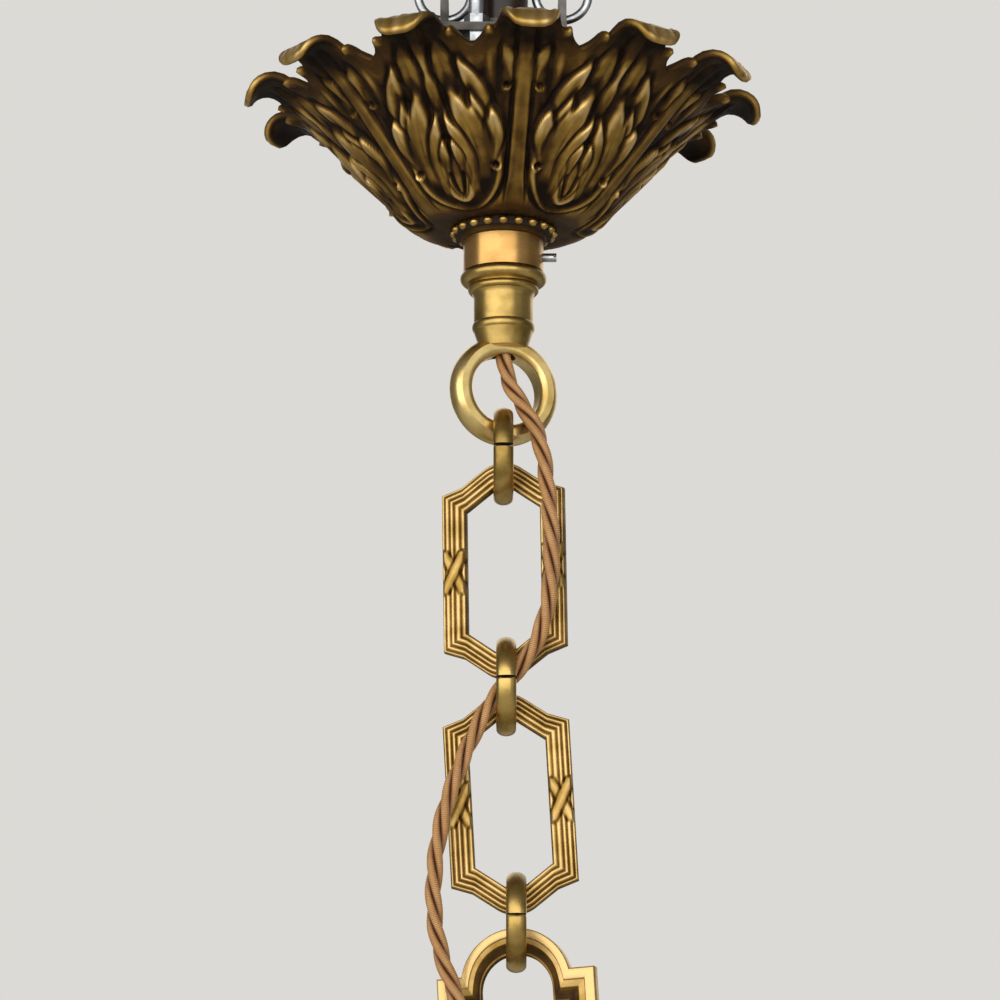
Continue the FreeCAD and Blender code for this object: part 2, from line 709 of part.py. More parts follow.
# Route of the free flex, from the neck's mouth, through the loop, in front of link 1, through ring 2,
# across link 2, past its left side, in front of link 3 and through the body loop into the socket
ring_2_z = ring_centres[1].z
flex_start_z = loop_z + loop_hole_radius + flex_start_rise
flex_route = [
    Vector(0.0, 0.0, flex_start_z),
    Vector(0.0, 0.0, -137.8),
    Vector(3.75, -2.2, -146.5),
    Vector(9.4, -6.6, -156.5),
    Vector(11.7, -9.2, -166.5),
    Vector(12.9, -10.2, -177.5),
    Vector(13.9, -10.5, -190.0),
    Vector(13.8, -10.3, -202.0),
    Vector(12.4, -9.8, -212.5),
    Vector(9.5, -8.7, ring_2_z + 11.2),
    Vector(5.5, -7.0, ring_2_z + 4.9),
    Vector(0.8, -5.6, ring_2_z),
    Vector(-3.7, -5.9, ring_2_z - 5.6),
    Vector(-8.2, -7.0, ring_2_z - 14.4),
    Vector(-12.8, -7.3, -257.5),
    Vector(-16.8, -7.2, -269.0),
    Vector(-19.2, -6.8, -281.0),
    Vector(-20.0, -7.0, -293.0),
    Vector(-19.2, -7.8, -304.5),
    Vector(-16.4, -8.6, -315.0),
    Vector(-12.2, -9.0, -325.5),
    Vector(-8.6, -9.2, -337.5),
    Vector(-6.0, -9.4, -350.5),
    Vector(-3.8, -9.6, -364.0),
    Vector(-1.6, -9.0, body_z + 14.6),
    Vector(0.9, -6.4, body_z + 4.6),
    Vector(4.6, -2.0, body_z - 2.9),
    Vector(body_x, 0.0, body_z - 10.9),
    Vector(body_x, 0.0, body_z - flex_end_drop),
]

pieces = {
    "ceiling_plate": make_ceiling_plate(),
    "hanging_link_left": make_hanging_link(-ear_spacing / 2),
    "hanging_link_right": make_hanging_link(ear_spacing / 2),
    "hanger_bracket": make_hanger_bracket(),
    "stem_tube": make_stem_tube(),
    "stem_nut_upper": make_stem_nut(bracket_top_z),
    "stem_nut_lower": make_stem_nut(bracket_bottom_z - nut_height),
    "terminal_block": make_terminal_block(),
    "terminal_screws": make_terminal_screws(),
    "earth_screw": make_earth_screw(),
    "earth_nut": make_earth_nut(),
    "collar": make_collar(),
    "collar_screw": make_collar_screw(),
    "canopy": make_canopy(),
    "bead_ring": make_bead_ring(),
    "neck": make_neck(),
    "loop_ring": make_loop_ring(),
    "body_loop": make_body_loop(body_x, body_z),
    "flex_in_stem": cylinder(flex_radius, flex_start_z, stem_top_z),
    "twisted_flex": cord(flex_route, flex_radius),
}
for number, centre in enumerate(ring_centres, 1):
    pieces["ring_%d" % number] = make_split_ring(centre.x, centre.z)
for number, link in enumerate([make_reeded_link(), make_reeded_link(), make_arched_link()], 1):
    pieces["link_%d" % number] = hang(link, link_yaws[number - 1], link_leans[number - 1],
                                      link_pivots[number - 1], link_drops[number - 1])

for name, piece in pieces.items():
    if not piece.isValid():
        print("not valid:", name)
    piece.exportStep("parts/%s.step" % name)
print("rim %.2f, loop %.2f, body loop %.2f, foot %.2f" % (rim_z, loop_z, body_z, body_foot_z))
print("rings", [(round(c.x, 2), round(c.z, 2)) for c in ring_centres])
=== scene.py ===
import math
from functools import partial

import bpy
import numpy as np
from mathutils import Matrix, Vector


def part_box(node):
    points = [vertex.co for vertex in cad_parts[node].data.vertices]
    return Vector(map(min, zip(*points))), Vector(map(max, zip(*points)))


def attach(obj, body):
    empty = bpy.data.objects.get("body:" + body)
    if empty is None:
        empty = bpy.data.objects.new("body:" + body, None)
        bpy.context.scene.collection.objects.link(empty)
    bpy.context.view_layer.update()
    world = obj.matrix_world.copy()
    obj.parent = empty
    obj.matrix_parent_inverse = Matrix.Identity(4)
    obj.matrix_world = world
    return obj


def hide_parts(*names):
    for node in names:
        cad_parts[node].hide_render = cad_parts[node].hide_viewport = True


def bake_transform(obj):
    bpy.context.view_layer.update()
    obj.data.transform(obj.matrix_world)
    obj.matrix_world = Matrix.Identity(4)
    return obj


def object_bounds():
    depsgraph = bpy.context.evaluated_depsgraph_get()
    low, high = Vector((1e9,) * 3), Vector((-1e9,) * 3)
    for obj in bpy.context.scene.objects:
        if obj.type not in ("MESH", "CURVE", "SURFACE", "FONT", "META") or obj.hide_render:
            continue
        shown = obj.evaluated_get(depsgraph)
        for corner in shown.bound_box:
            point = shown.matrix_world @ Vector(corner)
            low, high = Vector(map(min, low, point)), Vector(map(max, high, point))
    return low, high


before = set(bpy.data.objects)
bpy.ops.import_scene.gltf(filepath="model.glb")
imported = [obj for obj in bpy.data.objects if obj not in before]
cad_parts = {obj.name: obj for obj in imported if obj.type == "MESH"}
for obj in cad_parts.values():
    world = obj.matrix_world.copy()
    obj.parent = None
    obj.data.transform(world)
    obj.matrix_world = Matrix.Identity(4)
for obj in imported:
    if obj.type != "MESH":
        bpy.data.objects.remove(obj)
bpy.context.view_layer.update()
mm = 0.001  # the scene is in metres
print("frame loaded:", len(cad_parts), "nodes")


# Colours are sRGB hex, the shaders want linear values
def toLinear(hexColour):
    share = np.array([int(hexColour[i:i + 2], 16) for i in (1, 3, 5)]) / 255
    linear = np.where(share <= 0.04045, share / 12.92, ((share + 0.055) / 1.055) ** 2.4)
    return (*linear.tolist(), 1.0)


# Adds one shader node with its inputs, settings and colour stops, and gives its outputs. An input is linked
# if it is another node's output, and hex colours become linear ones.
def addNode(tree, kind, inputs=None, settings=None, stops=None):
    node = tree.nodes.new("ShaderNode" + kind)
    for key, value in (settings or {}).items():
        setattr(node, key, value)
    for key, value in (inputs or {}).items():
        if isinstance(value, bpy.types.NodeSocket):
            tree.links.new(value, node.inputs[key])
        else:
            node.inputs[key].default_value = toLinear(value) if isinstance(value, str) else value
    for i, (place, colour) in enumerate(stops or []):
        elements = node.color_ramp.elements
        stop = elements[i] if i < len(elements) else elements.new(place)
        stop.position = place
        stop.color = toLinear(colour)
    return node.outputs


# A new material, and the function that adds nodes to it
def newMaterial(name):
    material = bpy.data.materials.new(name)
    material.use_nodes = True
    material.node_tree.nodes.clear()
    return material, partial(addNode, material.node_tree)


def closeMaterial(add, inputs):
    shader = add("BsdfPrincipled", inputs)
    add("OutputMaterial", {"Surface": shader[0]})


noiseSpan = {"From Min": 0.3, "From Max": 0.7}  # most values of a noise texture lie between these


# Cast brass, chased and bronzed: the attribute of wear and painted shade is 1 on rubbed ridges and 0 in
# the recesses, where the brown-black bronzing stays and dulls the metal. On the canopy it is also low under
# the lips, where these dark colours paint shade.
def makeChasedBrass():
    look = {"recess": "#20140a", "shade": "#5e4321", "brass": "#af8b44", "rubbed": "#e3c182",
            "shadeWear": 0.35, "brassWear": 0.66, "rubbedWear": 0.9, "recessMetal": 0.8,
            "recessRough": 0.62, "rubbedRough": 0.43, "blotch": 7.0, "blotchShift": 0.12,
            "grain": 0.9, "grainDepth": 0.1, "grainBump": 0.12}
    material, add = newMaterial("chasedBronzedBrass")
    place = add("TexCoord")["Object"]
    wearAndShade = add("Attribute", settings={"attribute_name": "wearAndShade"})["Fac"]
    blotch = add("TexNoise", {"Vector": place, "Scale": 1 / (look["blotch"] * mm), "Detail": 5.0})["Fac"]
    shift = add("MapRange", {"Value": blotch, **noiseSpan,
                             "To Min": -look["blotchShift"], "To Max": look["blotchShift"]})[0]
    level = add("Math", {0: wearAndShade, 1: shift}, {"operation": "ADD", "use_clamp": True})[0]
    colour = add("ValToRGB", {"Fac": level}, stops=[
        (0.0, look["recess"]), (look["shadeWear"], look["shade"]), (look["brassWear"], look["brass"]),
        (look["rubbedWear"], look["rubbed"])])[0]
    metal = add("MapRange", {"Value": level, "From Min": 0.05, "From Max": 0.45,
                             "To Min": look["recessMetal"], "To Max": 1.0})[0]
    rough = add("MapRange", {"Value": level, "From Min": 0.1, "From Max": 0.9,
                             "To Min": look["recessRough"], "To Max": look["rubbedRough"]})[0]
    grain = add("TexNoise", {"Vector": place, "Scale": 1 / (look["grain"] * mm), "Detail": 3.0})["Fac"]
    bump = add("Bump", {"Height": grain, "Strength": look["grainBump"],
                        "Distance": look["grainDepth"] * mm})[0]
    closeMaterial(add, {"Base Color": colour, "Metallic": metal, "Roughness": rough, "Normal": bump})
    return material


# Brass that was turned, drawn, bent or cast and then dulled by age: brown clouds over a soft sheen, with fine
# scratches. With a recess colour, the metal near the axis gets painted shade together with bronzing, and the
# faces of a saw cut in the front get painted shade.
def makeAgedBrass(name, look):
    material, add = newMaterial(name)
    place = add("TexCoord")["Object"]
    cloud = add("TexNoise", {"Vector": place, "Scale": 1 / (look["cloud"] * mm), "Detail": 6.0})["Fac"]
    colour = add("ValToRGB", {"Fac": cloud}, stops=[
        (look["dullCloud"], look["dull"]), (look["cleanCloud"], look["clean"])])[0]
    rough = add("MapRange", {"Value": cloud, **noiseSpan,
                             "To Min": look["roughDull"], "To Max": look["roughClean"]})[0]
    stretch = add("Mapping", {"Vector": place, "Scale": (1.0, 1.0, look["lines"])})[0]
    scratch = add("TexNoise", {"Vector": stretch, "Scale": 1 / (look["scratch"] * mm), "Detail": 2.0})["Fac"]
    bump = add("Bump", {"Height": scratch, "Strength": look["scratchBump"],
                        "Distance": look["scratchDepth"] * mm})[0]
    inputs = {"Base Color": colour, "Metallic": 1.0, "Roughness": rough, "Normal": bump}
    if "recessRadii" in look:
        inner, outer = look["recessRadii"]
        flat = add("VectorMath", {0: place, 1: (1.0, 1.0, 0.0)}, {"operation": "MULTIPLY"})[0]
        radius = add("VectorMath", {0: flat}, {"operation": "LENGTH"})["Value"]
        undarkened = add("MapRange", {"Value": radius, "From Min": inner * mm, "From Max": outer * mm},
                   {"interpolation_type": "SMOOTHSTEP"})[0]
    if "cutHeight" in look:
        axes = add("SeparateXYZ", {0: place})
        rise = add("Math", {0: axes[2], 1: look["cutHeight"]}, {"operation": "SUBTRACT"})[0]
        away = add("Math", {0: rise}, {"operation": "ABSOLUTE"})[0]
        beside = add("Math", {0: away, 1: look["cutHalf"] * mm}, {"operation": "GREATER_THAN"})[0]
        behind = add("Math", {0: axes[1], 1: 0.0}, {"operation": "GREATER_THAN"})[0]
        undarkened = add("Math", {0: beside, 1: behind}, {"operation": "MAXIMUM"})[0]
    # the recess colour paints shade over the darkened part: with bronzing near the axis of the beads, alone
    # at a saw cut
    if "recess" in look:  # a mix node takes colours at inputs 6 and 7, plain values at 2 and 3
        inputs["Base Color"] = add("Mix", {0: undarkened, 6: look["recess"], 7: colour}, {"data_type": "RGBA"})[2]
        inputs["Roughness"] = add("Mix", {0: undarkened, 2: look["shadeAndBronzeRough"], 3: rough})[0]
        inputs["Metallic"] = undarkened
    closeMaterial(add, inputs)
    return material


# Steel, mottled between a pale and a dark tone: by crystals in bright zinc plating, or by dull rolling scale
def makeSteel(name, look):
    material, add = newMaterial(name)
    place = add("TexCoord")["Object"]
    mottle = add("TexNoise", {"Vector": place, "Scale": 1 / (look["mottle"] * mm), "Detail": 4.0})["Fac"]
    colour = add("ValToRGB", {"Fac": mottle}, stops=[(0.3, look["dark"]), (0.65, look["pale"])])[0]
    rough = add("MapRange", {"Value": mottle, **noiseSpan,
                             "To Min": look["roughDark"], "To Max": look["roughPale"]})[0]
    closeMaterial(add, {"Base Color": colour, "Metallic": 1.0, "Roughness": rough})
    return material


# Phenolic resin, compression moulded: dark brown with a faint lighter swirl and a dull gloss
def makePhenolic():
    look = {"dark": "#1d0f09", "light": "#3a2013", "swirl": 5.0, "swirlTwist": 1.2, "rough": 0.34}
    material, add = newMaterial("mouldedPhenolic")
    place = add("TexCoord")["Object"]
    swirl = add("TexNoise", {"Vector": place, "Scale": 1 / (look["swirl"] * mm), "Detail": 5.0,
                             "Distortion": look["swirlTwist"]})["Fac"]
    colour = add("ValToRGB", {"Fac": swirl}, stops=[(0.4, look["dark"]), (0.75, look["light"])])[0]
    closeMaterial(add, {"Base Color": colour, "Roughness": look["rough"]})
    return material


# Silk braid round each core: threads wind round it in a fine slanting rib, so the UV map counts
# turns round the core along U and millimetres along V. An attribute is 0 where the cores touch, and a dark
# colour there paints the shade between them.
def makeSilkBraid():
    look = {"thread": "#cb9558", "shadow": "#9c6a35", "worn": "#e2b175", "creviceShade": "#58290c", "fade": 4.0,
            "rib": 0.5, "slant": 0.75, "ribDepth": 0.1, "ribBump": 0.4, "rough": 0.46, "sheen": 0.1,
            "sheenRough": 0.4}
    material, add = newMaterial("silkBraid")
    weave = add("UVMap", settings={"uv_map": "braid"})[0]
    axes = add("SeparateXYZ", {0: weave})
    along = add("Math", {0: axes[1], 1: look["rib"]}, {"operation": "DIVIDE"})[0]
    turn = add("Math", {0: axes[0], 1: look["slant"], 2: along}, {"operation": "MULTIPLY_ADD"})[0]
    # the wave rises and falls once on each rib
    halfRib = 0.5
    wave = add("Math", {0: turn, 1: halfRib}, {"operation": "PINGPONG"})[0]
    height = add("MapRange", {"Value": wave, "From Min": 0.0, "From Max": halfRib},
                 {"interpolation_type": "SMOOTHSTEP"})[0]
    place = add("TexCoord")["Object"]
    fade = add("TexNoise", {"Vector": place, "Scale": 1 / (look["fade"] * mm), "Detail": 4.0})["Fac"]
    thread = add("ValToRGB", {"Fac": fade}, stops=[(0.35, look["thread"]), (0.7, look["worn"])])[0]
    ribbed = add("Mix", {0: height, 6: look["shadow"], 7: thread}, {"data_type": "RGBA"})[2]
    outside = add("Attribute", settings={"attribute_name": "creviceShade"})["Fac"]
    colour = add("Mix", {0: outside, 6: look["creviceShade"], 7: ribbed}, {"data_type": "RGBA"})[2]
    bump = add("Bump", {"Height": height, "Strength": look["ribBump"], "Distance": look["ribDepth"] * mm})[0]
    closeMaterial(add, {"Base Color": colour, "Roughness": look["rough"], "Sheen Weight": look["sheen"],
                        "Sheen Roughness": look["sheenRough"], "Normal": bump})
    return material


# Clouds and scratches in millimetres. Lines is how many times closer the scratches lie along Z.
agedLook = {
    "clean": "#cead66", "dull": "#8e743a", "cloud": 9.0, "dullCloud": 0.32, "cleanCloud": 0.62,
    "roughDull": 0.40, "roughClean": 0.25, "shadeAndBronzeRough": 0.8,
    "lines": 6.0, "scratch": 2.5, "scratchDepth": 0.08, "scratchBump": 0.1,
}
chasedBrass = makeChasedBrass()
agedBrass = makeAgedBrass("agedTurnedBrass", agedLook)
# the cast loop gets a paler copy of the aged brass, which paints the stronger light on it
paintedLightBrass = makeAgedBrass("paintedLightCastBrass", {**agedLook, "clean": "#ecd08c", "dull": "#c4a35a"})
polishedBrass = makeAgedBrass("polishedBrass", {
    **agedLook, "clean": "#d8aa66", "dull": "#a67c42", "cloud": 12.0, "roughDull": 0.32, "lines": 8.0,
    "scratchBump": 0.05})
# cast beads rubbed bright on their outer sides; near the axis, between them, a dark colour paints shade
# together with bronzing
beadedBrass = makeAgedBrass("castBeadedBrass", {
    **agedLook, "clean": "#dcb468", "dull": "#a8843f", "cloud": 12.0, "roughDull": 0.32, "roughClean": 0.22,
    "lines": 1.0, "scratchBump": 0.05, "recess": "#2e1d0b", "recessRadii": (14.2, 15.1)})
# drawn through a die, so its scratches run along Z
drawnBrass = makeAgedBrass("drawnBrassTube", {
    **agedLook, "clean": "#c7a65f", "dull": "#92743a", "cloud": 6.0, "roughClean": 0.3, "lines": 0.2,
    "scratchBump": 0.08})
zincSteel = makeSteel("zincPlatedSteel", {
    "pale": "#c9cbcc", "dark": "#8d9194", "mottle": 3.0, "roughDark": 0.42, "roughPale": 0.25})
rolledSteel = makeSteel("rolledMildSteel", {
    "pale": "#726f69", "dark": "#45423e", "mottle": 7.0, "roughDark": 0.6, "roughPale": 0.45})
phenolic = makePhenolic()
silkBraid = makeSilkBraid()
print("materials made")

# Each CAD node that stays in view gets the finish of the real piece
nodeFinishes = {
    agedBrass: ["neck", "body_loop"],
    paintedLightBrass: ["loop_ring"],
    polishedBrass: ["collar"],
    beadedBrass: ["bead_ring"],
    drawnBrass: ["stem_tube", "terminal_screws"],
    zincSteel: ["hanging_link_left", "hanging_link_right", "earth_screw", "earth_nut", "collar_screw"],
    rolledSteel: ["ceiling_plate", "hanger_bracket", "stem_nut_upper", "stem_nut_lower"],
    phenolic: ["terminal_block"],
}
# the split rings have the aged brass, with painted shade, near black, on the faces of the saw cut at mid
# height
for ringName in ("ring_1", "ring_2", "ring_3", "ring_4"):
    middle = (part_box(ringName)[0][2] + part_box(ringName)[1][2]) / 2
    ringLook = {**agedLook, "recess": "#0e0905", "cutHeight": middle, "cutHalf": 0.52}
    nodeFinishes[makeAgedBrass("sawnBrass_" + ringName, ringLook)] = [ringName]
for finish, nodeNames in nodeFinishes.items():
    for nodeName in nodeNames:
        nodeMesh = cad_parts[nodeName].data
        nodeMesh.materials.clear()
        nodeMesh.materials.append(finish)
print("finishes set on the frame's nodes")


def addObject(name, data):
    item = bpy.data.objects.new(name, data)
    bpy.context.scene.collection.objects.link(item)
    return item


# Quads between the points of a grid, wrapped round in each direction that closes
def gridFaces(rows, columns, closeRows, closeColumns):
    i = np.arange(rows if closeRows else rows - 1)[:, None]
    j = np.arange(columns if closeColumns else columns - 1)[None, :]
    nextRow = (i + 1) % rows
    nextColumn = (j + 1) % columns
    corners = [i * columns + j, i * columns + nextColumn,
               nextRow * columns + nextColumn, nextRow * columns + j]
    return np.stack(np.broadcast_arrays(*corners), -1).reshape(-1, 4)


def setAttribute(mesh, name, values):
    attribute = mesh.attributes.new(name, "FLOAT", "POINT")
    attribute.data.foreach_set("value", np.clip(values, 0, 1).astype(np.float32).ravel())


# A closed casting from a grid of points in millimetres that wraps round both ways, with its wear and, on the
# canopy, its painted shade.
# Faces are turned round if they enclose a negative volume.
def makeCasting(name, grid, wearAndShade):
    points = grid.reshape(-1, 3)
    faces = gridFaces(*grid.shape[:2], True, True)
    a, b, c, d = (points[faces[:, k]] for k in range(4))
    volume = np.sum(a * (np.cross(b, c) + np.cross(c, d)))
    if volume < 0:
        faces = faces[:, ::-1]
    mesh = bpy.data.meshes.new(name)
    mesh.from_pydata((points * mm).tolist(), [], faces.tolist())
    mesh.polygons.foreach_set("use_smooth", np.ones(len(faces), bool))
    mesh.materials.append(chasedBrass)
    mesh.update()
    setAttribute(mesh, "wearAndShade", wearAndShade)
    return addObject(name, mesh)


# Goes from 0 at low to 1 at high, with a soft start and end. Low may be the larger of the two.
def smoothStep(low, high, value):
    t = np.clip((value - low) / (high - low), 0, 1)
    return t * t * (3 - 2 * t)


# Is 1 at the middle and falls off on both sides within about the half width
def bell(value, middle, half):
    return np.exp(-((value - middle) / half) ** 2)


# Travel along a line of points, from 0 at the first one
def travelAlong(points):
    return np.concatenate([[0], np.cumsum(np.linalg.norm(np.diff(points, axis=0), axis=1))])


# Points on the circle through a, b and c, from a to c
def threePointArc(a, b, c, count):
    a, b, c = (np.array(p, float) for p in (a, b, c))
    p, q = b - a, c - a
    cross = 2 * (p[0] * q[1] - p[1] * q[0])
    lift = np.array([q[1] * (p @ p) - p[1] * (q @ q), p[0] * (q @ q) - q[0] * (p @ p)]) / cross
    centre = a + lift
    start, middle, end = (math.atan2(*(v - centre)[::-1]) for v in (a, b, c))
    turn = (end - start) % (2 * math.pi)
    if (middle - start) % (2 * math.pi) > turn:
        turn -= 2 * math.pi
    angles = start + turn * np.linspace(0, 1, count)
    radius = np.linalg.norm(lift)
    return centre + radius * np.stack([np.cos(angles), np.sin(angles)], -1)


# Canopy: sizes in millimetres, angles in degrees, heights above the bowl's seat
canopy = {
    "columns": 720, "outerRows": 116, "innerRows": 14, "innerCrowding": 1.7, "innerReach": 0.98,
    "holeRadius": 8.2, "holeMargin": 0.5, "bossRadius": 12.6, "bossChamfer": 0.3, "seatGap": 0.05,
    "floorHeight": 4.1, "height": 45.1, "wall": 2.4, "edgeBulge": 0.5, "reliefEnd": (0.3, 3.0),
    "floorRadius": 20.0, "lowRadius": 33.0, "lowRise": 6.6, "highRadius": 54.0, "highDrop": 11.2,
    "flareRadius": 67.0, "flareDrop": 0.8, "tipRadius": 74.4, "tipDrop": 4.8,
    "leafPitch": 30.0, "leafTurn": 6.4, "lobeAngle": 10.0, "lobeHalf": 1.2, "lobeCurl": 1.8, "lobeReach": 6.0,
    "lipReach": (10.5, 8.0), "lipFlute": 2.7, "lipWaves": 88, "lipShares": (0.55, 0.45), "lipDepth": 0.13,
}
# Outline of one leaf: half angle from its middle, and how much shorter than the tip it is there
leafOutline = np.array([
    (0.0, 0.0), (2.4, 0.15), (4.0, 0.9), (5.0, 2.2), (5.9, 4.0), (6.6, 6.0), (7.2, 8.2), (7.7, 10.2),
    (8.2, 11.8), (8.7, 12.4), (9.3, 11.6), (10.0, 11.0), (10.7, 11.4), (11.3, 13.0), (12.0, 15.0),
    (13.0, 16.6), (14.0, 17.6), (15.0, 18.2)])
# Section across half a leaf pair at the eye, from the eye's middle to the main rib: place and height
eyeSection = np.array([
    (0.0, 0.1), (0.8, 0.0), (1.5, -0.7), (1.9, -1.0), (2.3, -0.6), (2.6, 0.15), (3.0, 0.15), (3.3, -0.2),
    (3.8, 0.35), (4.8, 0.62), (5.7, 0.3), (6.3, -0.3), (7.6, -0.8), (9.6, -0.85), (10.9, -0.4), (11.5, 0.3),
    (12.0, 0.4), (12.5, 0.2), (13.0, -0.5), (13.7, -0.8), (14.4, -0.5), (15.0, 0.2), (16.5, 0.35),
    (60.0, 0.3)])
# Chased relief in millimetres. A form comes or goes between the two places of a pair: along the wall from the
# floor's edge, from the leaf's tip where the name ends in Tip, or from the form's own middle or edge.
leafRelief = {
    "lift": 0.3, "foot": (-4.5, 3.0), "sectionSteps": 1201, "rounding": 11,
    "eyeAlong": 16.5, "eyeRadius": 31.5, "eyeEnd": (17, 24), "groundAbove": -0.75,
    "lineLimit": 60.0, "linePower": 1.8, "lineDepth": 6.3, "lineDeeper": 0.68, "lineHalvings": 24,
    "fluteAngle": 5.2, "fluteRise": 0.45, "fluteGround": -0.2, "fluteStart": (38, 52), "fluteTip": (6, 13),
    "lowRibStart": (34, 38), "lowRibEdge": (2.0, 1.6), "lowRibRise": 0.55,
    "lowGroove": 2.5, "lowGrooveHalf": 0.5, "lowGrooveDepth": 0.6,
    "ribHalf": 2.2, "ribEdge": (0.35, -0.25), "ribStart": (3, 12), "ribTip": (7, 13), "ribRise": 0.18,
    "ribCrown": 0.3, "groove": 0.75, "grooveHalf": 0.5, "grooveDepth": 0.8,
    "pitDepth": 1.3, "pitSteepness": 4, "pitRim": 0.55, "pitRimHalf": 0.4, "pitRimRise": 0.75,
    "pitRimEnd": (0.4, -0.8),
}
# Leaflets: share of the way from the eye's middle line to the main rib, and height along the wall,
# at base and tip, then half width, lift of the tip, and bow of the middle line
leaflets = [
    ((0.90, 43.5), (0.80, 55.0), 2.4, 0.4, 0.02),
    ((0.20, 40.0), (0.17, 56.5), 3.4, 0.3, 0.00),
    ((0.62, 31.0), (0.35, 50.5), 3.0, 0.8, 0.02),
    ((0.55, 19.0), (0.42, 39.2), 2.5, 0.9, 0.03),
    ((0.62, 18.5), (0.66, 35.0), 2.7, 1.0, 0.03),
    ((0.48, 13.0), (0.21, 41.0), 4.0, 0.9, 0.03),
    ((0.30, 9.0), (0.065, 33.8), 2.5, 1.0, 0.03),
    ((0.12, 16.0), (0.06, 26.2), 1.5, 0.9, 0.02),
]
# Form of every leaflet: base width, edge and trench as shares of its half width, full width, point, root and
# starts as shares of its length, heights and the vein in millimetres
leafletForm = {
    "baseWidth": 0.5, "fullWidth": 0.55, "point": 0.5, "pointPower": 1.6, "edge": (1.2, 0.8),
    "root": (-0.06, 0.12), "rise": 0.1, "liftPower": 1.6, "crown": 0.5, "overlap": 0.4,
    "veinHalf": 0.45, "veinDepth": 0.28, "veinStart": (0.0, 0.4),
    "trench": 1.25, "trenchHalf": 0.22, "trenchDepth": 0.65, "trenchStart": (0.15, 0.5),
}
# Drilled pits at the roots of the leaflets: share, height along the wall, radius
drilledPits = [(0.675, 17.9, 0.9), (0.82, 42.5, 0.85)]
# Wear from 0 in the recesses to 1 on rubbed metal, darkened by painted shade under the lips, with spans as
# in the relief and losses as shares
leafWearAndShade = {
    "reliefSpan": (-1.05, 1.15), "relief": 0.76, "ridge": 0.24, "ridgeFull": 0.45, "ridgeReach": (3, 4),
    "hollow": (50, 62), "hollowBronzeAndShade": 0.7, "foot": (-1, 8), "footLevel": 0.3,
    "tongue": (52, 60), "tongueHalf": (8.0, 6.0), "tongueShadow": 0.9, "lobe": 0.75, "lobeTip": (3.5, 0.8),
    "lipSide": (5.6, 7.4), "lipSideLoss": 0.65, "lipLobe": 0.5,
    "boss": 0.3, "edge": 0.66, "inside": 0.28, "lip": 0.46, "lipFlute": 0.1, "hole": 0.25,
}


# The wall's outer line from the boss to the leaf tip, as radius and height against its own length
def canopyLine():
    c = canopy
    floor = c["floorHeight"]
    low = (c["lowRadius"], floor + c["lowRise"])
    high = (c["highRadius"], c["height"] - c["highDrop"])
    flare = (c["flareRadius"], c["height"] - c["flareDrop"])
    tip = (c["tipRadius"], c["height"] - c["tipDrop"])
    lowBend = ((c["floorRadius"] + 2 * c["lowRadius"]) / 3, floor + 0.36 * c["lowRise"])
    flareBend = ((high[0] + flare[0]) / 2, c["height"] - 0.45 * (c["highDrop"] + c["flareDrop"]))
    lipBend = (flare[0] + 0.8 * (tip[0] - flare[0]), c["height"] - 0.28 * c["tipDrop"])
    stretches = [
        np.linspace((c["bossRadius"], floor), (c["floorRadius"], floor), 12),
        threePointArc((c["floorRadius"], floor), lowBend, low, 30),
        np.linspace(low, high, 40),
        threePointArc(high, flareBend, flare, 30),
        threePointArc(flare, lipBend, tip, 30),
    ]
    line = np.concatenate([s[:-1] for s in stretches] + [stretches[-1][-1:]])
    return line, travelAlong(line)


# Width of the U line through each point. The lines are upright above the eye's foot, and under it they close
# in a rounded V, deeper for wider lines. Found by halving, since the depth depends on the line's own width.
def eyeReach(wide, below):
    r = leafRelief
    low, high = wide, np.full(wide.shape, r["lineLimit"])
    for step in range(r["lineHalvings"]):
        reach = (low + high) / 2
        depth = r["lineDepth"] + r["lineDeeper"] * reach
        within = (wide / reach) ** r["linePower"] + (below / depth) ** r["linePower"] < 1
        low, high = np.where(within, low, reach), np.where(within, reach, high)
    return high


# Lays one leaflet over the relief: a tongue with a crowned and veined top that lifts towards its point,
# and a trench round its free end
def layLeaflet(height, leaflet, share, along, pairWidth):
    f = leafletForm
    (share0, along0), (share1, along1), half, lift, bow = leaflet
    q = (along - along0) / (along1 - along0)
    inside = np.clip(q, 0, 1)
    middle = share0 + (share1 - share0) * inside + bow * np.sin(math.pi * inside)
    offset = (share - middle) * pairWidth
    width = f["baseWidth"] + (1 - f["baseWidth"]) * smoothStep(0, f["fullWidth"], inside)
    side = np.abs(offset) / (half * width)
    toPoint = np.clip((q - f["point"]) / (1 - f["point"]), 0, None)
    # 1 on the leaflet's outline, which is pointed at the tip
    out = (side ** f["pointPower"] + toPoint ** f["pointPower"]) ** (1 / f["pointPower"])
    edge = smoothStep(*f["edge"], out) * smoothStep(*f["root"], q)
    vein = f["veinDepth"] * bell(offset, 0, f["veinHalf"])
    vein = vein * smoothStep(*f["veinStart"], inside) * (1 - inside)
    crown = f["crown"] * np.clip(side, 0, f["edge"][0]) ** 2
    top = f["rise"] + lift * inside ** f["liftPower"] - crown - vein
    trench = bell(out, f["trench"], f["trenchHalf"]) * smoothStep(*f["trenchStart"], inside)
    height = height - f["trenchDepth"] * trench * (1 - edge)
    return height * (1 - edge) + np.maximum(top, height - f["overlap"]) * edge


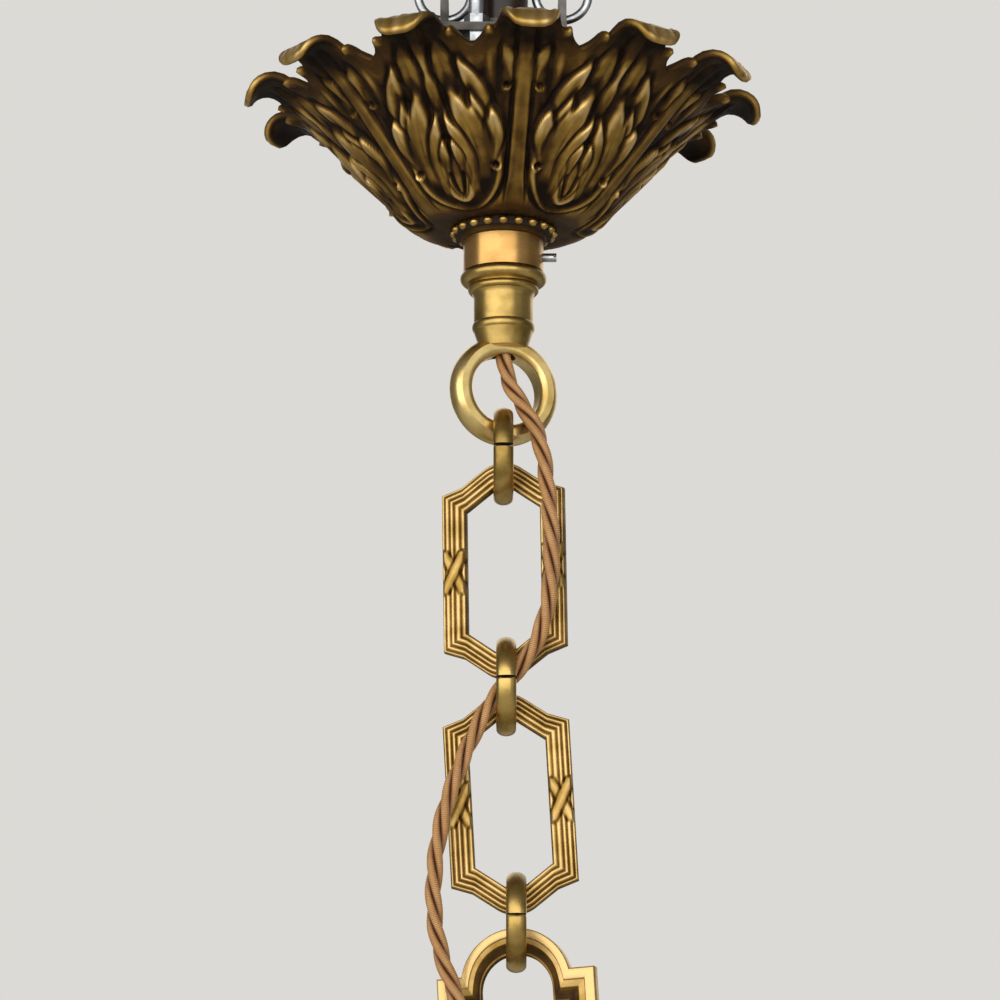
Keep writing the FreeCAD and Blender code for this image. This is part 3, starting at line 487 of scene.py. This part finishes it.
# Relief height: nested U flutes round each eye, leaflets laid over them, then ribs and drilled pits.
# share runs from 0 on the eye's middle line to 1 on the main rib, along is measured from the floor's edge.
def canopyRelief(share, along, radius, leafAngle, toTip):
    r = leafRelief
    halfPair = math.radians(canopy["leafPitch"])
    pairWidth = halfPair * radius
    reach = eyeReach(share * halfPair * r["eyeRadius"], np.maximum(r["eyeAlong"] - along, 0))
    table = np.linspace(0, r["lineLimit"], r["sectionSteps"])
    kernel = np.hanning(r["rounding"]) / np.hanning(r["rounding"]).sum()
    section = np.pad(np.interp(table, *eyeSection.T), r["rounding"] // 2, mode="edge")
    height = np.interp(reach, table, np.convolve(section, kernel, "valid")) * smoothStep(*r["foot"], along)
    aboveEye = smoothStep(*r["eyeEnd"], along)
    height = height * (1 - aboveEye) + r["groundAbove"] * aboveEye
    # upper flutes run up each leaf and end under its lip
    flutes = r["fluteRise"] * np.cos(2 * math.pi * leafAngle / r["fluteAngle"]) + r["fluteGround"]
    upper = smoothStep(*r["fluteStart"], along)
    height = height * (1 - upper) + flutes * upper * smoothStep(*r["fluteTip"], toTip)
    # the leaf between two main ones has a lower rib of its own from its eye's leaflets upwards
    across = share * pairWidth
    lowRib = r["lowRibRise"] * smoothStep(*r["lowRibEdge"], across)
    lowRib = lowRib - r["lowGrooveDepth"] * bell(across, r["lowGroove"], r["lowGrooveHalf"])
    ribEnd = smoothStep(*r["ribTip"], toTip)
    height = height + lowRib * smoothStep(*r["lowRibStart"], along) * ribEnd
    for leaflet in leaflets:
        height = layLeaflet(height, leaflet, share, along, pairWidth)
    # main rib: a rounded band with a groove on each side, all the way up
    fromRib = (1 - share) * pairWidth
    ribUp = smoothStep(*r["ribStart"], along) * ribEnd
    groove = bell(fromRib - r["ribHalf"], r["groove"], r["grooveHalf"])
    band = smoothStep(*r["ribEdge"], fromRib - r["ribHalf"]) * ribUp
    crown = r["ribRise"] - r["ribCrown"] * (fromRib / r["ribHalf"]) ** 2
    height = height - r["grooveDepth"] * groove * ribUp
    height = height * (1 - band) + crown * band
    # pits, each with a raised rim on its lower side
    for pitShare, pitAlong, pitRadius in drilledPits:
        away = np.hypot((share - pitShare) * pairWidth, along - pitAlong)
        rim = bell(away - pitRadius, r["pitRim"], r["pitRimHalf"])
        height = height - r["pitDepth"] * np.exp(-(away / pitRadius) ** r["pitSteepness"])
        height = height + r["pitRimRise"] * rim * smoothStep(*r["pitRimEnd"], along - pitAlong)
    return height + r["lift"]


# How far each point stands above the mean of its neighbours, on a grid that closes round the axis
def standOut(height, rowReach, columnReach):
    wide = np.pad(height, ((rowReach, rowReach), (0, 0)), mode="edge")
    wide = np.pad(wide, ((0, 0), (columnReach, columnReach)), mode="wrap")
    rows, columns = height.shape
    mean = sum(wide[i:i + rows] for i in range(2 * rowReach + 1)) / (2 * rowReach + 1)
    mean = sum(mean[:, j:j + columns] for j in range(2 * columnReach + 1)) / (2 * columnReach + 1)
    return height - mean


# Wear and painted shade of the outer face, the rim and the inner face: rubbed where the relief stands out, on
# the rolled lip near the leaf's middle and on its side lobes. The hollow under the lip stays dark with
# bronzing and painted shade, with a deeper painted shadow under the tongue at the leaf's middle. The outer
# face is also darker near the floor's edge, and the inside is dull.
def canopyWearAndShade(relief, along, toTip, leafAngle, lobe, innerLip, lipFlutes):
    w = leafWearAndShade
    ridge = np.clip(standOut(relief, *w["ridgeReach"]) / w["ridgeFull"], -1, 1)
    outer = smoothStep(*w["reliefSpan"], relief) * w["relief"] + w["ridge"] * ridge
    # bronzing and painted shade darken the hollow under the lip
    outer = outer * (1 - w["hollowBronzeAndShade"] * smoothStep(*w["hollow"], along))
    # the outer face is darker towards the floor's edge
    outer = outer * (w["footLevel"] + (1 - w["footLevel"]) * smoothStep(*w["foot"], along))
    # painted shadow under the tongue at the leaf's middle
    shadowUnderTongue = smoothStep(*w["tongue"], along) * smoothStep(*w["tongueHalf"], leafAngle)
    outer = outer * (1 - w["tongueShadow"] * shadowUnderTongue)
    outer = np.maximum(outer, w["lobe"] * lobe * smoothStep(*w["lobeTip"], toTip))
    lipShare = 1 - w["lipSideLoss"] * smoothStep(*w["lipSide"], leafAngle) + w["lipLobe"] * lobe
    inner = w["inside"] + (w["lip"] + w["lipFlute"] * lipFlutes) * innerLip * lipShare
    return outer, w["edge"] * lipShare[None, :], inner


# The bowl is the outer line turned about the axis, cut to the leaf outline and pushed out by the relief,
# with an inner face one wall thickness behind it that is plain up to its fluted lip
def makeCanopy():
    c = canopy
    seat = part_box("canopy")[0][2] / mm
    line, length = canopyLine()
    tangent = np.gradient(line, length, axis=0)
    tangent /= np.linalg.norm(tangent, axis=1)[:, None]
    normal = np.stack([tangent[:, 1], -tangent[:, 0]], -1)  # points down and out, away from the bowl

    def wallPoints(s):
        radius, height = (np.interp(s, length, line[:, k]) for k in (0, 1))
        out, up = (np.interp(s, length, normal[:, k]) for k in (0, 1))
        return radius, height, out, up

    theta = np.arange(c["columns"]) * 360 / c["columns"]
    pairAngle = (theta - c["leafTurn"]) % (2 * c["leafPitch"])
    share = np.abs(pairAngle - c["leafPitch"]) / c["leafPitch"]
    leafAngle = np.abs((theta - c["leafTurn"] + c["leafPitch"] / 2) % c["leafPitch"] - c["leafPitch"] / 2)
    tipLength = length[-1] - np.interp(leafAngle, *leafOutline.T)
    lobe = bell(leafAngle, c["lobeAngle"], c["lobeHalf"])  # beside the tip, curled outwards with both faces

    outer = np.linspace(0, 1, c["outerRows"])[:, None] * tipLength
    along = outer - (c["floorRadius"] - c["bossRadius"])
    toTip = tipLength - outer
    radius, height, out, up = wallPoints(outer)
    relief = canopyRelief(np.broadcast_to(share, outer.shape), along, radius, leafAngle, toTip)
    pushed = relief * smoothStep(*c["reliefEnd"], toTip)
    pushed = pushed + c["lobeCurl"] * lobe * smoothStep(c["lobeReach"], 0, toTip)
    outerRadius, outerHeight = radius + out * pushed, height + up * pushed

    inward = np.linspace(0, 1, c["innerRows"])[:, None] ** c["innerCrowding"]  # rows lie closer at the lip
    inner = (1 - c["innerReach"] * inward) * tipLength
    fromEdge = tipLength - inner
    innerLip = smoothStep(*c["lipReach"], fromEdge)
    mainFlutes, cross = c["lipShares"]
    lipFlutes = mainFlutes * np.cos(2 * math.pi * leafAngle / c["lipFlute"])
    lipFlutes = lipFlutes + cross * np.sin(np.radians(c["lipWaves"] * theta))  # makes the flutes uneven
    behind = c["wall"] - c["lobeCurl"] * lobe * smoothStep(c["lobeReach"], 0, fromEdge)
    behind = behind + c["lipDepth"] * lipFlutes * innerLip
    radius, height, out, up = wallPoints(inner)
    innerRadius = np.maximum(radius - out * behind, c["holeRadius"] + c["holeMargin"])
    innerHeight = height - up * behind

    edgeOut, edgeUp = (np.interp(tipLength, length, tangent[:, k]) for k in (0, 1))
    edgeRadius = (outerRadius[-1:] + innerRadius[:1]) / 2 + c["edgeBulge"] * edgeOut
    edgeHeight = (outerHeight[-1:] + innerHeight[:1]) / 2 + c["edgeBulge"] * edgeUp
    # the boss stands just clear of the collar, and the hole goes up through the floor
    ones = np.ones((1, c["columns"]))
    boss = [(c["holeRadius"], c["seatGap"]), (c["bossRadius"] - c["bossChamfer"], c["seatGap"]),
            (c["bossRadius"], c["bossChamfer"])]
    bossRadius, bossHeight = (np.concatenate([v * ones for v in values]) for values in zip(*boss))
    holeTop = c["floorHeight"] + c["wall"]
    allRadius = np.concatenate([bossRadius, outerRadius, edgeRadius, innerRadius, c["holeRadius"] * ones])
    allHeight = np.concatenate([bossHeight, outerHeight, edgeHeight, innerHeight, holeTop * ones])
    turn = np.radians(theta)
    points = np.stack([allRadius * np.sin(turn), -allRadius * np.cos(turn), seat + allHeight], -1)
    outerWearAndShade, edgeWear, innerWear = canopyWearAndShade(relief - leafRelief["lift"], along, toTip, leafAngle, lobe,
                                                innerLip, lipFlutes)
    bossWear = np.full(bossRadius.shape, leafWearAndShade["boss"])
    wearAndShade = np.concatenate([bossWear, outerWearAndShade, edgeWear, innerWear, leafWearAndShade["hole"] * ones])
    piece = makeCasting("canopyLeaves", points, wearAndShade)
    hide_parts("canopy")
    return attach(piece, "canopy")


makeCanopy()
print("canopy made")

# Links: sizes in millimetres, angles in degrees, wear from 0 to 1
reededLink = {
    "side": (18.2, 23.3), "shoulder": (12.2, 25.4), "halfHeight": 32.0, "apexRadius": 9.5,
    "innerSide": (11.0, 18.0), "innerHalfHeight": 24.8, "innerApexRadius": 5.0, "bar": 7.2,
    "reedWidths": [1.0, 1.5, 1.4, 1.8, 1.5], "reedTops": [1.9, 2.4, 2.7, 2.5, 2.0],
    "valleys": [0.9, 1.6, 2.0, 2.1, 1.8, 0.9], "valleyWear": 0.42, "reedWear": 0.46,
    "tieHalfHeight": 6.6, "tieHalfWidth": 1.5, "tieTop": 2.72, "tieOver": 0.2, "tieCrown": 0.18,
    "tieEnd": 0.6, "tieSlope": 0.92, "tieGroove": 0.2, "tieWear": 0.76, "edgeLoss": 0.2, "grooveLoss": 0.55,
}
archedLink = {
    "halfWidth": 22.8, "shoulder": 20.3, "radius": 15.9, "halfHeight": 33.0, "cornerStep": 0.06,
    "innerHalfWidth": 13.8, "innerShoulder": 10.5, "innerRadius": 10.3, "innerHalfHeight": 25.5,
}
# Moulding of link 3 from its outer line to its inner one: share of the way and height of the front
archMoulding = np.array([
    (0.0, 2.2), (0.03, 2.62), (0.05, 2.7), (0.31, 2.7), (0.33, 2.62), (0.345, 2.15), (0.36, 2.1),
    (0.53, 2.1), (0.55, 2.02), (0.565, 1.7), (0.64, 1.15), (0.74, 0.85), (0.84, 0.95), (0.88, 1.25),
    (0.94, 1.35), (0.98, 1.2), (1.0, 0.9)])
archWear = np.array([(0.8, 0.1), (1.3, 0.5), (2.0, 0.7), (2.7, 1.0)])  # height of the front and its wear
linkPlaces = {"link_1": (-14.0, 0.9), "link_2": (-2.0, 3.2), "link_3": (-12.0, 3.4)}  # turn and lean


# Puts a link's points where its CAD node hangs: turned about Z, leaned about Y, centred on the node's box
def hangPoints(points, node):
    turn, lean = (math.radians(v) for v in linkPlaces[node])
    low, high = (np.array(v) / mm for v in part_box(node))
    x = points[..., 0] * math.cos(turn) - points[..., 1] * math.sin(turn)
    y = points[..., 0] * math.sin(turn) + points[..., 1] * math.cos(turn)
    z = points[..., 2]
    across = x * math.cos(lean) - z * math.sin(lean)
    rise = x * math.sin(lean) + z * math.cos(lean)
    return np.stack([across, y, rise], -1) + (low + high) / 2


# Points along a straight stretch without its end, with one close to each corner so that it stays crisp
def straightPoints(a, b, count, near):
    share = np.concatenate([[0.0], np.linspace(near, 1 - near, count)])
    return np.array(a) + (np.array(b) - np.array(a)) * share[:, None]


# A link's section goes along its outline. Each point of the section lies at its share of the way from the
# outer line to the inner one, and stands out by its height to the front and the back.
def sweepFrame(outer, inward, shares, heights):
    front = outer[:, None, :] + inward[:, None, :] * shares[None, :, None]
    depth = heights if heights.ndim == 2 else np.broadcast_to(heights, front.shape[:2])
    frontPoints = np.stack([front[..., 0], -depth, front[..., 1]], -1)
    backPoints = frontPoints[:, ::-1] * np.array([1.0, -1.0, 1.0])
    return np.concatenate([frontPoints, backPoints], 1)


# Outline of links 1 and 2: upright sides, short shoulders, and flanks that touch a rounded apex. The inner
# line's shoulder is a short piece of its flank, so that both lines have the same count of points.
def cantedOutline(side, shoulder, apex, apexRadius):
    foot = shoulder or side
    centre = apex - apexRadius
    reach = math.hypot(foot[0], foot[1] - centre)
    touch = math.atan2(foot[1] - centre, foot[0]) + math.acos(apexRadius / reach)
    flank = np.array([apexRadius * math.cos(touch), centre + apexRadius * math.sin(touch)])
    foot = shoulder or side + 0.07 * (flank - side)
    knots = [np.array((side[0], -side[1])), np.array(side), np.array(foot), flank]
    mirror = np.array([-1.0, 1.0])
    # points on side, shoulder and flank, and how near to their ends, as a share, the outermost lie
    counts, near = (110, 6, 12), (0.004, 0.04, 0.02)
    rising = [straightPoints(a, b, n, e) for a, b, n, e in zip(knots, knots[1:], counts, near)]
    arch = threePointArc(flank, (0, apex), flank * mirror, 25)[:-1]
    falling = [straightPoints(b * mirror, a * mirror, n, e)
               for a, b, n, e in list(zip(knots[1:], knots[2:], counts[1:], near[1:]))[::-1]]
    half = np.concatenate(rising + [arch] + falling)
    return np.concatenate([half, -half])


# Section of the reeded bar: rounded reeds side by side, each rising from the valleys beside it
def reedSection():
    k = reededLink
    edges = np.concatenate([[0], np.cumsum(k["reedWidths"])]) / sum(k["reedWidths"])
    t = np.linspace(-1, 1, 11)
    rise = np.cos(t * math.pi / 2) ** 0.7
    share, heights, crown = [], [], []
    for i, top in enumerate(k["reedTops"]):
        ground = np.interp(t, [-1, 1], k["valleys"][i:i + 2])
        share.append((edges[i] + edges[i + 1]) / 2 + t * (edges[i + 1] - edges[i]) / 2 * 0.985)
        heights.append(ground + (top - ground) * rise)
        crown.append(rise)
    return np.concatenate(share), np.concatenate(heights), np.concatenate(crown)


def makeReededLink(node):
    k = reededLink
    outer = cantedOutline(k["side"], k["shoulder"], k["halfHeight"], k["apexRadius"])
    inner = cantedOutline(k["innerSide"], None, k["innerHalfHeight"], k["innerApexRadius"])
    share, heights, crown = reedSection()
    z = (outer[:, 1:] + (inner - outer)[:, 1:] * share) * np.sign(outer[:, :1])
    upright = np.abs(np.abs(outer[:, :1]) - k["side"][0]) < 1e-6
    heightGrid = np.broadcast_to(heights, z.shape)
    wearGrid = np.broadcast_to(k["valleyWear"] + k["reedWear"] * crown ** 1.5, z.shape)
    # two ribbon ties cross on each upright: flat bands on the diagonals, one over the other, each with a
    # groove beside it
    slope = k["bar"] / 2 / k["tieHalfHeight"] * k["tieSlope"]
    onBar = smoothStep(0.0, 0.14, share) * smoothStep(1.0, 0.86, share)
    fromEnd = k["tieHalfHeight"] - np.abs(z)
    within = smoothStep(-k["tieEnd"], k["tieEnd"], fromEnd) * upright
    for sign, over in ((1, 0.0), (-1, k["tieOver"])):
        offset = np.abs((share - 0.5) * k["bar"] - sign * slope * z) / k["tieHalfWidth"]
        fromMiddle = np.minimum(offset, 1)
        tie = smoothStep(1.12, 0.82, offset) * within * onBar
        groove = bell(offset, 1.2, 0.22) * within
        crest = k["tieTop"] + over - k["tieCrown"] * fromMiddle ** 2
        heightGrid = heightGrid * (1 - tie) + crest * tie - k["tieGroove"] * groove * (1 - tie)
        tieWear = k["tieWear"] - k["edgeLoss"] * fromMiddle
        wearGrid = wearGrid * (1 - k["grooveLoss"] * groove) * (1 - tie) + tieWear * tie
    points = hangPoints(sweepFrame(outer, inner - outer, share, heightGrid), node)
    piece = makeCasting("reeded_" + node, points, np.concatenate([wearGrid, wearGrid[:, ::-1]], 1))
    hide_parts(node)
    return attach(piece, node)


# Outline of link 3: a box with square shoulders and a round arch at each end
def archedOutline(halfWidth, shoulder, radius, apex, step):
    spring = max(apex - radius, shoulder)
    foot = math.sqrt(radius ** 2 - (spring - apex + radius) ** 2)
    arch = threePointArc((foot, spring), (0, apex), (-foot, spring), 60)
    if spring > shoulder:
        legs = np.linspace((foot, shoulder), (foot, spring), 12)[:-1]
        arch = np.concatenate([legs, arch, legs[::-1] * np.array([-1, 1])])
    length = travelAlong(arch)
    t = np.concatenate([[0.0], np.linspace(step, length[-1] - step, 40)])
    arch = np.stack([np.interp(t, length, arch[:, k]) for k in (0, 1)], -1)

    half = np.concatenate([straightPoints((halfWidth, -shoulder), (halfWidth, shoulder), 3, 0.003),
                           straightPoints((halfWidth, shoulder), (foot, shoulder), 3, 0.015), arch,
                           straightPoints((-foot, shoulder), (-halfWidth, shoulder), 3, 0.015)])
    return np.concatenate([half, -half])


def makeArchedLink(node):
    k = archedLink
    outer = archedOutline(k["halfWidth"], k["shoulder"], k["radius"], k["halfHeight"], k["cornerStep"])
    inner = archedOutline(k["innerHalfWidth"], k["innerShoulder"], k["innerRadius"], k["innerHalfHeight"],
                          k["cornerStep"])
    shares, heights = archMoulding.T
    points = hangPoints(sweepFrame(outer, inner - outer, shares, heights), node)
    wearAndShade = np.interp(heights, *archWear.T)
    both = np.concatenate([wearAndShade, wearAndShade[::-1]])
    piece = makeCasting("moulded_" + node, points, np.broadcast_to(both, points.shape[:2]))
    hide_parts(node)
    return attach(piece, node)


makeReededLink("link_1")
makeReededLink("link_2")
makeArchedLink("link_3")
print("links made")

# Twisted flex: three covered cores round one route. Route in metres, sizes in millimetres.
flex = {
    "diameter": 5.0, "coreRadius": 1.18, "helixRadius": 1.32, "lay": 32.0, "creviceShade": (-0.45, 0.5),
    "sides": 24, "stretchSteps": 14, "stemSteps": 120,
}
flexRoute = [
    (0.0, 0.0, -0.1289), (0.0, 0.0, -0.1378), (0.00375, -0.0022, -0.1465), (0.0094, -0.0066, -0.1565),
    (0.0117, -0.0092, -0.1665), (0.0129, -0.0102, -0.1775), (0.0139, -0.0105, -0.19),
    (0.0138, -0.0103, -0.202), (0.0124, -0.0098, -0.2125), (0.0095, -0.0087, -0.220994),
    (0.0055, -0.007, -0.227294), (0.0008, -0.0056, -0.232194), (-0.0037, -0.0059, -0.237794),
    (-0.0082, -0.007, -0.246594), (-0.0128, -0.0073, -0.2575), (-0.0168, -0.0072, -0.269),
    (-0.0192, -0.0068, -0.281), (-0.02, -0.007, -0.293), (-0.0192, -0.0078, -0.3045),
    (-0.0164, -0.0086, -0.315), (-0.0122, -0.009, -0.3255), (-0.0086, -0.0092, -0.3375),
    (-0.006, -0.0094, -0.3505), (-0.0038, -0.0096, -0.364), (-0.0016, -0.009, -0.375124),
    (0.0009, -0.0064, -0.385124), (0.0046, -0.002, -0.392624), (0.006673, 0.0, -0.400624),
    (0.006673, 0.0, -0.409724),
]
# Each length of the flex bends across one joint: the two bodies, and the heights where it starts to
# bend, is bent, and ends
flexLengths = [
    ("stem", "ring_1", -0.149, -0.166, -0.1675),
    ("ring_1", "link_1", -0.169, -0.186, -0.203),
    ("link_1", "ring_2", -0.215, -0.2335, -0.2345),
    ("ring_2", "link_2", -0.236, -0.256, -0.268),
    ("link_2", "ring_3", -0.284, -0.301, -0.303),
    ("ring_3", "link_3", -0.304, -0.322, -0.338),
    ("link_3", "ring_4", -0.355, -0.372, -0.3735),
    ("ring_4", "body_loop", -0.375, -0.392, -1.0),
]


# The smooth line of the route, read from a curve that has the route's points as its control points
def flexLine():
    curve = bpy.data.curves.new("flexRoute", "CURVE")
    curve.dimensions = "3D"
    spline = curve.splines.new("NURBS")
    spline.points.add(len(flexRoute) - 1)
    spline.points.foreach_set("co", np.array([(*p, 1.0) for p in flexRoute]).ravel())
    spline.order_u = 3
    spline.use_endpoint_u = True
    spline.resolution_u = flex["stretchSteps"]
    holder = addObject("flexRoute", curve)
    mesh = bpy.data.meshes.new_from_object(holder)
    points = np.zeros(len(mesh.vertices) * 3)
    mesh.vertices.foreach_get("co", points)
    bpy.data.objects.remove(holder)
    bpy.data.meshes.remove(mesh)
    bpy.data.curves.remove(curve)
    return points.reshape(-1, 3)


# Two directions square to a line and to each other. No line here runs along X, so X is the guide.
def squareTo(line):
    tangent = np.gradient(line, axis=0)
    tangent /= np.linalg.norm(tangent, axis=1)[:, None]
    first = np.array([1.0, 0.0, 0.0]) - tangent[:, :1] * tangent
    first /= np.linalg.norm(first, axis=1)[:, None]
    return first, np.cross(tangent, first)


# Three tubes wound round the line to the left, one third of a turn apart, with flat ends. Points and travel
# are in millimetres, and ends are the first row of points and the one after the last.
def makeCores(name, line, first, second, travel, ends):
    sides = flex["sides"]
    around = np.arange(sides) / sides
    turn = 2 * math.pi * around
    points, faces, uvs, outsides, rounds = [], [], [], [], []
    start, end = ends
    for core in range(3):
        phase = 2 * math.pi * (core / 3 - travel / flex["lay"])
        away = first * np.cos(phase)[:, None] + second * np.sin(phase)[:, None]
        centre = line + flex["helixRadius"] * away
        a, b = squareTo(centre)
        ring = a[:, None, :] * np.cos(turn)[None, :, None] + b[:, None, :] * np.sin(turn)[None, :, None]
        tube = (centre[:, None, :] + flex["coreRadius"] * ring)[start:end]
        rows = len(tube)
        base = core * rows * sides
        faces += (gridFaces(rows, sides, False, True) + base).tolist()
        faces.append([base + i for i in range(sides)][::-1])
        faces.append([base + (rows - 1) * sides + i for i in range(sides)])
        points.append(tube.reshape(-1, 3))
        rounds.append(ring[start:end].reshape(-1, 3))
        # painted shade: each core darkens on its side towards the middle of the flex, where the cores touch
        outward = np.sum(ring * away[:, None, :], -1)[start:end]
        outsides.append(smoothStep(*flex["creviceShade"], outward).ravel())
        # U counts turns round the core and V the travel, so the last quad of each ring ends at a full turn
        u0 = np.broadcast_to(around, (rows - 1, sides))
        v0 = np.broadcast_to(travel[start:end - 1, None], (rows - 1, sides))
        v1 = np.broadcast_to(travel[start + 1:end, None], (rows - 1, sides))
        u1 = u0 + 1 / sides
        corner = np.stack([np.stack(c, -1) for c in ((u0, v0), (u1, v0), (u1, v1), (u0, v1))], 2)
        uvs.append(corner.reshape(-1, 2))
        uvs.append(np.zeros((2 * sides, 2)))
    points = np.concatenate(points)
    mesh = bpy.data.meshes.new(name)
    mesh.from_pydata((points * mm).tolist(), [], faces)
    mesh.polygons.foreach_set("use_smooth", np.array([len(f) == 4 for f in faces]))
    layer = mesh.uv_layers.new(name="braid")
    layer.data.foreach_set("uv", np.concatenate(uvs).ravel())
    setAttribute(mesh, "creviceShade", np.concatenate(outsides))
    mesh.materials.append(silkBraid)
    mesh.update()
    # the tube's true directions, so that no seam shows where two lengths meet
    mesh.normals_split_custom_set_from_vertices(np.concatenate(rounds).tolist())
    piece = addObject(name, mesh)
    return piece


def makeFlex():
    line = flexLine()
    inMm = line / mm
    travel = travelAlong(inMm)
    first, second = squareTo(inMm)
    start = 0
    for number, (above, below, bendStart, bendEnd, lowest) in enumerate(flexLengths, 1):
        end = min(int(np.searchsorted(-line[:, 2], -lowest)) + 1, len(line))
        piece = makeCores("twistedFlex%d" % number, inMm, first, second, travel, (start, end))
        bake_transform(piece)
        if number == 1:
            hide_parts("twisted_flex")
        start = end - 1
    print("flex length %.1f mm" % travel[-1])
    # the same cores go straight up through the neck and the stem
    low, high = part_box("flex_in_stem")
    count = flex["stemSteps"]
    rise = np.linspace(low[2] / mm, high[2] / mm, count)[::-1]
    straight = np.stack([np.zeros(count), np.zeros(count), rise], -1)
    first, second = squareTo(straight)
    inner = makeCores("flexInStem", straight, first, second, low[2] / mm - rise, (0, count))
    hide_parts("flex_in_stem")
    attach(inner, "stem")


makeFlex()
print("flex made")


# Studio, in metres: pale floor far below, pale surroundings, a wide soft lamp in front and two weaker ones
studio = {
    "floorDrop": 0.35, "floorSize": 6.0, "floor": "#d9d7d2", "floorRough": 0.8, "floorPaleness": 0.85,
    "surround": "#dcdad6", "surroundLight": 0.24, "lampTarget": (0.0, 0.0, -0.2),
}
lamps = [
    {"name": "keyLamp", "place": (-0.5, -1.55, -0.02), "size": (4.6, 2.0), "power": 50.0},
    {"name": "fillLamp", "place": (1.4, -0.9, -0.1), "size": (0.9, 0.9), "power": 0.8},
    {"name": "backLamp", "place": (0.3, 1.5, 0.6), "size": (2.4, 1.6), "power": 11.0},
]
view = {
    "back": 1.300, "aside": -0.0010, "belowRim": 0.4492, "pitch": 14.07, "focalPixels": 4615.0,
    "picture": 1000.0, "sensor": 36.0, "nearest": 0.01,
}


def makeFloor():
    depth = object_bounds()[0][2] - studio["floorDrop"]
    half = studio["floorSize"] / 2
    corners = [(-half, -half, depth), (half, -half, depth), (half, half, depth), (-half, half, depth)]
    mesh = bpy.data.meshes.new("studioFloor")
    mesh.from_pydata(corners, [], [(0, 1, 2, 3)])
    floor = addObject("studioFloor", mesh)
    # matt paint; the camera sees it mostly as pale as the surround, which puts no light on the object
    material, add = newMaterial("paleFloorPaint")
    paint = add("BsdfPrincipled", {"Base Color": studio["floor"], "Roughness": studio["floorRough"]})
    pale = add("Emission", {"Color": studio["surround"]})
    seen = add("LightPath")["Is Camera Ray"]
    share = add("Math", {0: seen, 1: studio["floorPaleness"]}, {"operation": "MULTIPLY"})[0]
    both = add("MixShader", {0: share, 1: paint[0], 2: pale[0]})
    add("OutputMaterial", {"Surface": both[0]})
    mesh.materials.append(material)


# The camera sees the pale surround, while its light on the object is lower
def makeSurround():
    world = bpy.data.worlds.new("paleSurround")
    bpy.context.scene.world = world
    world.use_nodes = True
    world.node_tree.nodes.clear()
    add = partial(addNode, world.node_tree)
    seen = add("LightPath")["Is Camera Ray"]
    strength = add("MapRange", {"Value": seen, "To Min": studio["surroundLight"], "To Max": 1.0})[0]
    light = add("Background", {"Color": studio["surround"], "Strength": strength})
    add("OutputWorld", {"Surface": light[0]})


def makeLamps():
    for lamp in lamps:
        light = bpy.data.lights.new(lamp["name"], "AREA")
        light.energy = lamp["power"]
        light.shape = "RECTANGLE"
        light.size, light.size_y = lamp["size"]
        holder = addObject(lamp["name"], light)
        x, y, z = np.array(studio["lampTarget"]) - np.array(lamp["place"])
        holder.location = lamp["place"]
        holder.rotation_euler = (math.atan2(math.hypot(x, y), -z), 0.0, math.atan2(-x, y))


def makeCamera():
    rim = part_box("canopy")[0][2] + canopy["height"] * mm
    camera = bpy.data.cameras.new("photoCamera")
    camera.sensor_width = view["sensor"]
    camera.lens = view["focalPixels"] / view["picture"] * view["sensor"]
    camera.clip_start = view["nearest"]
    holder = addObject("photoCamera", camera)
    holder.location = (view["aside"], -view["back"], rim - view["belowRim"])
    holder.rotation_euler = (math.radians(90 + view["pitch"]), 0.0, 0.0)
    bpy.context.scene.camera = holder


makeFloor()
makeSurround()
makeLamps()
makeCamera()
bpy.context.scene.view_settings.view_transform = "Standard"
print("studio set")
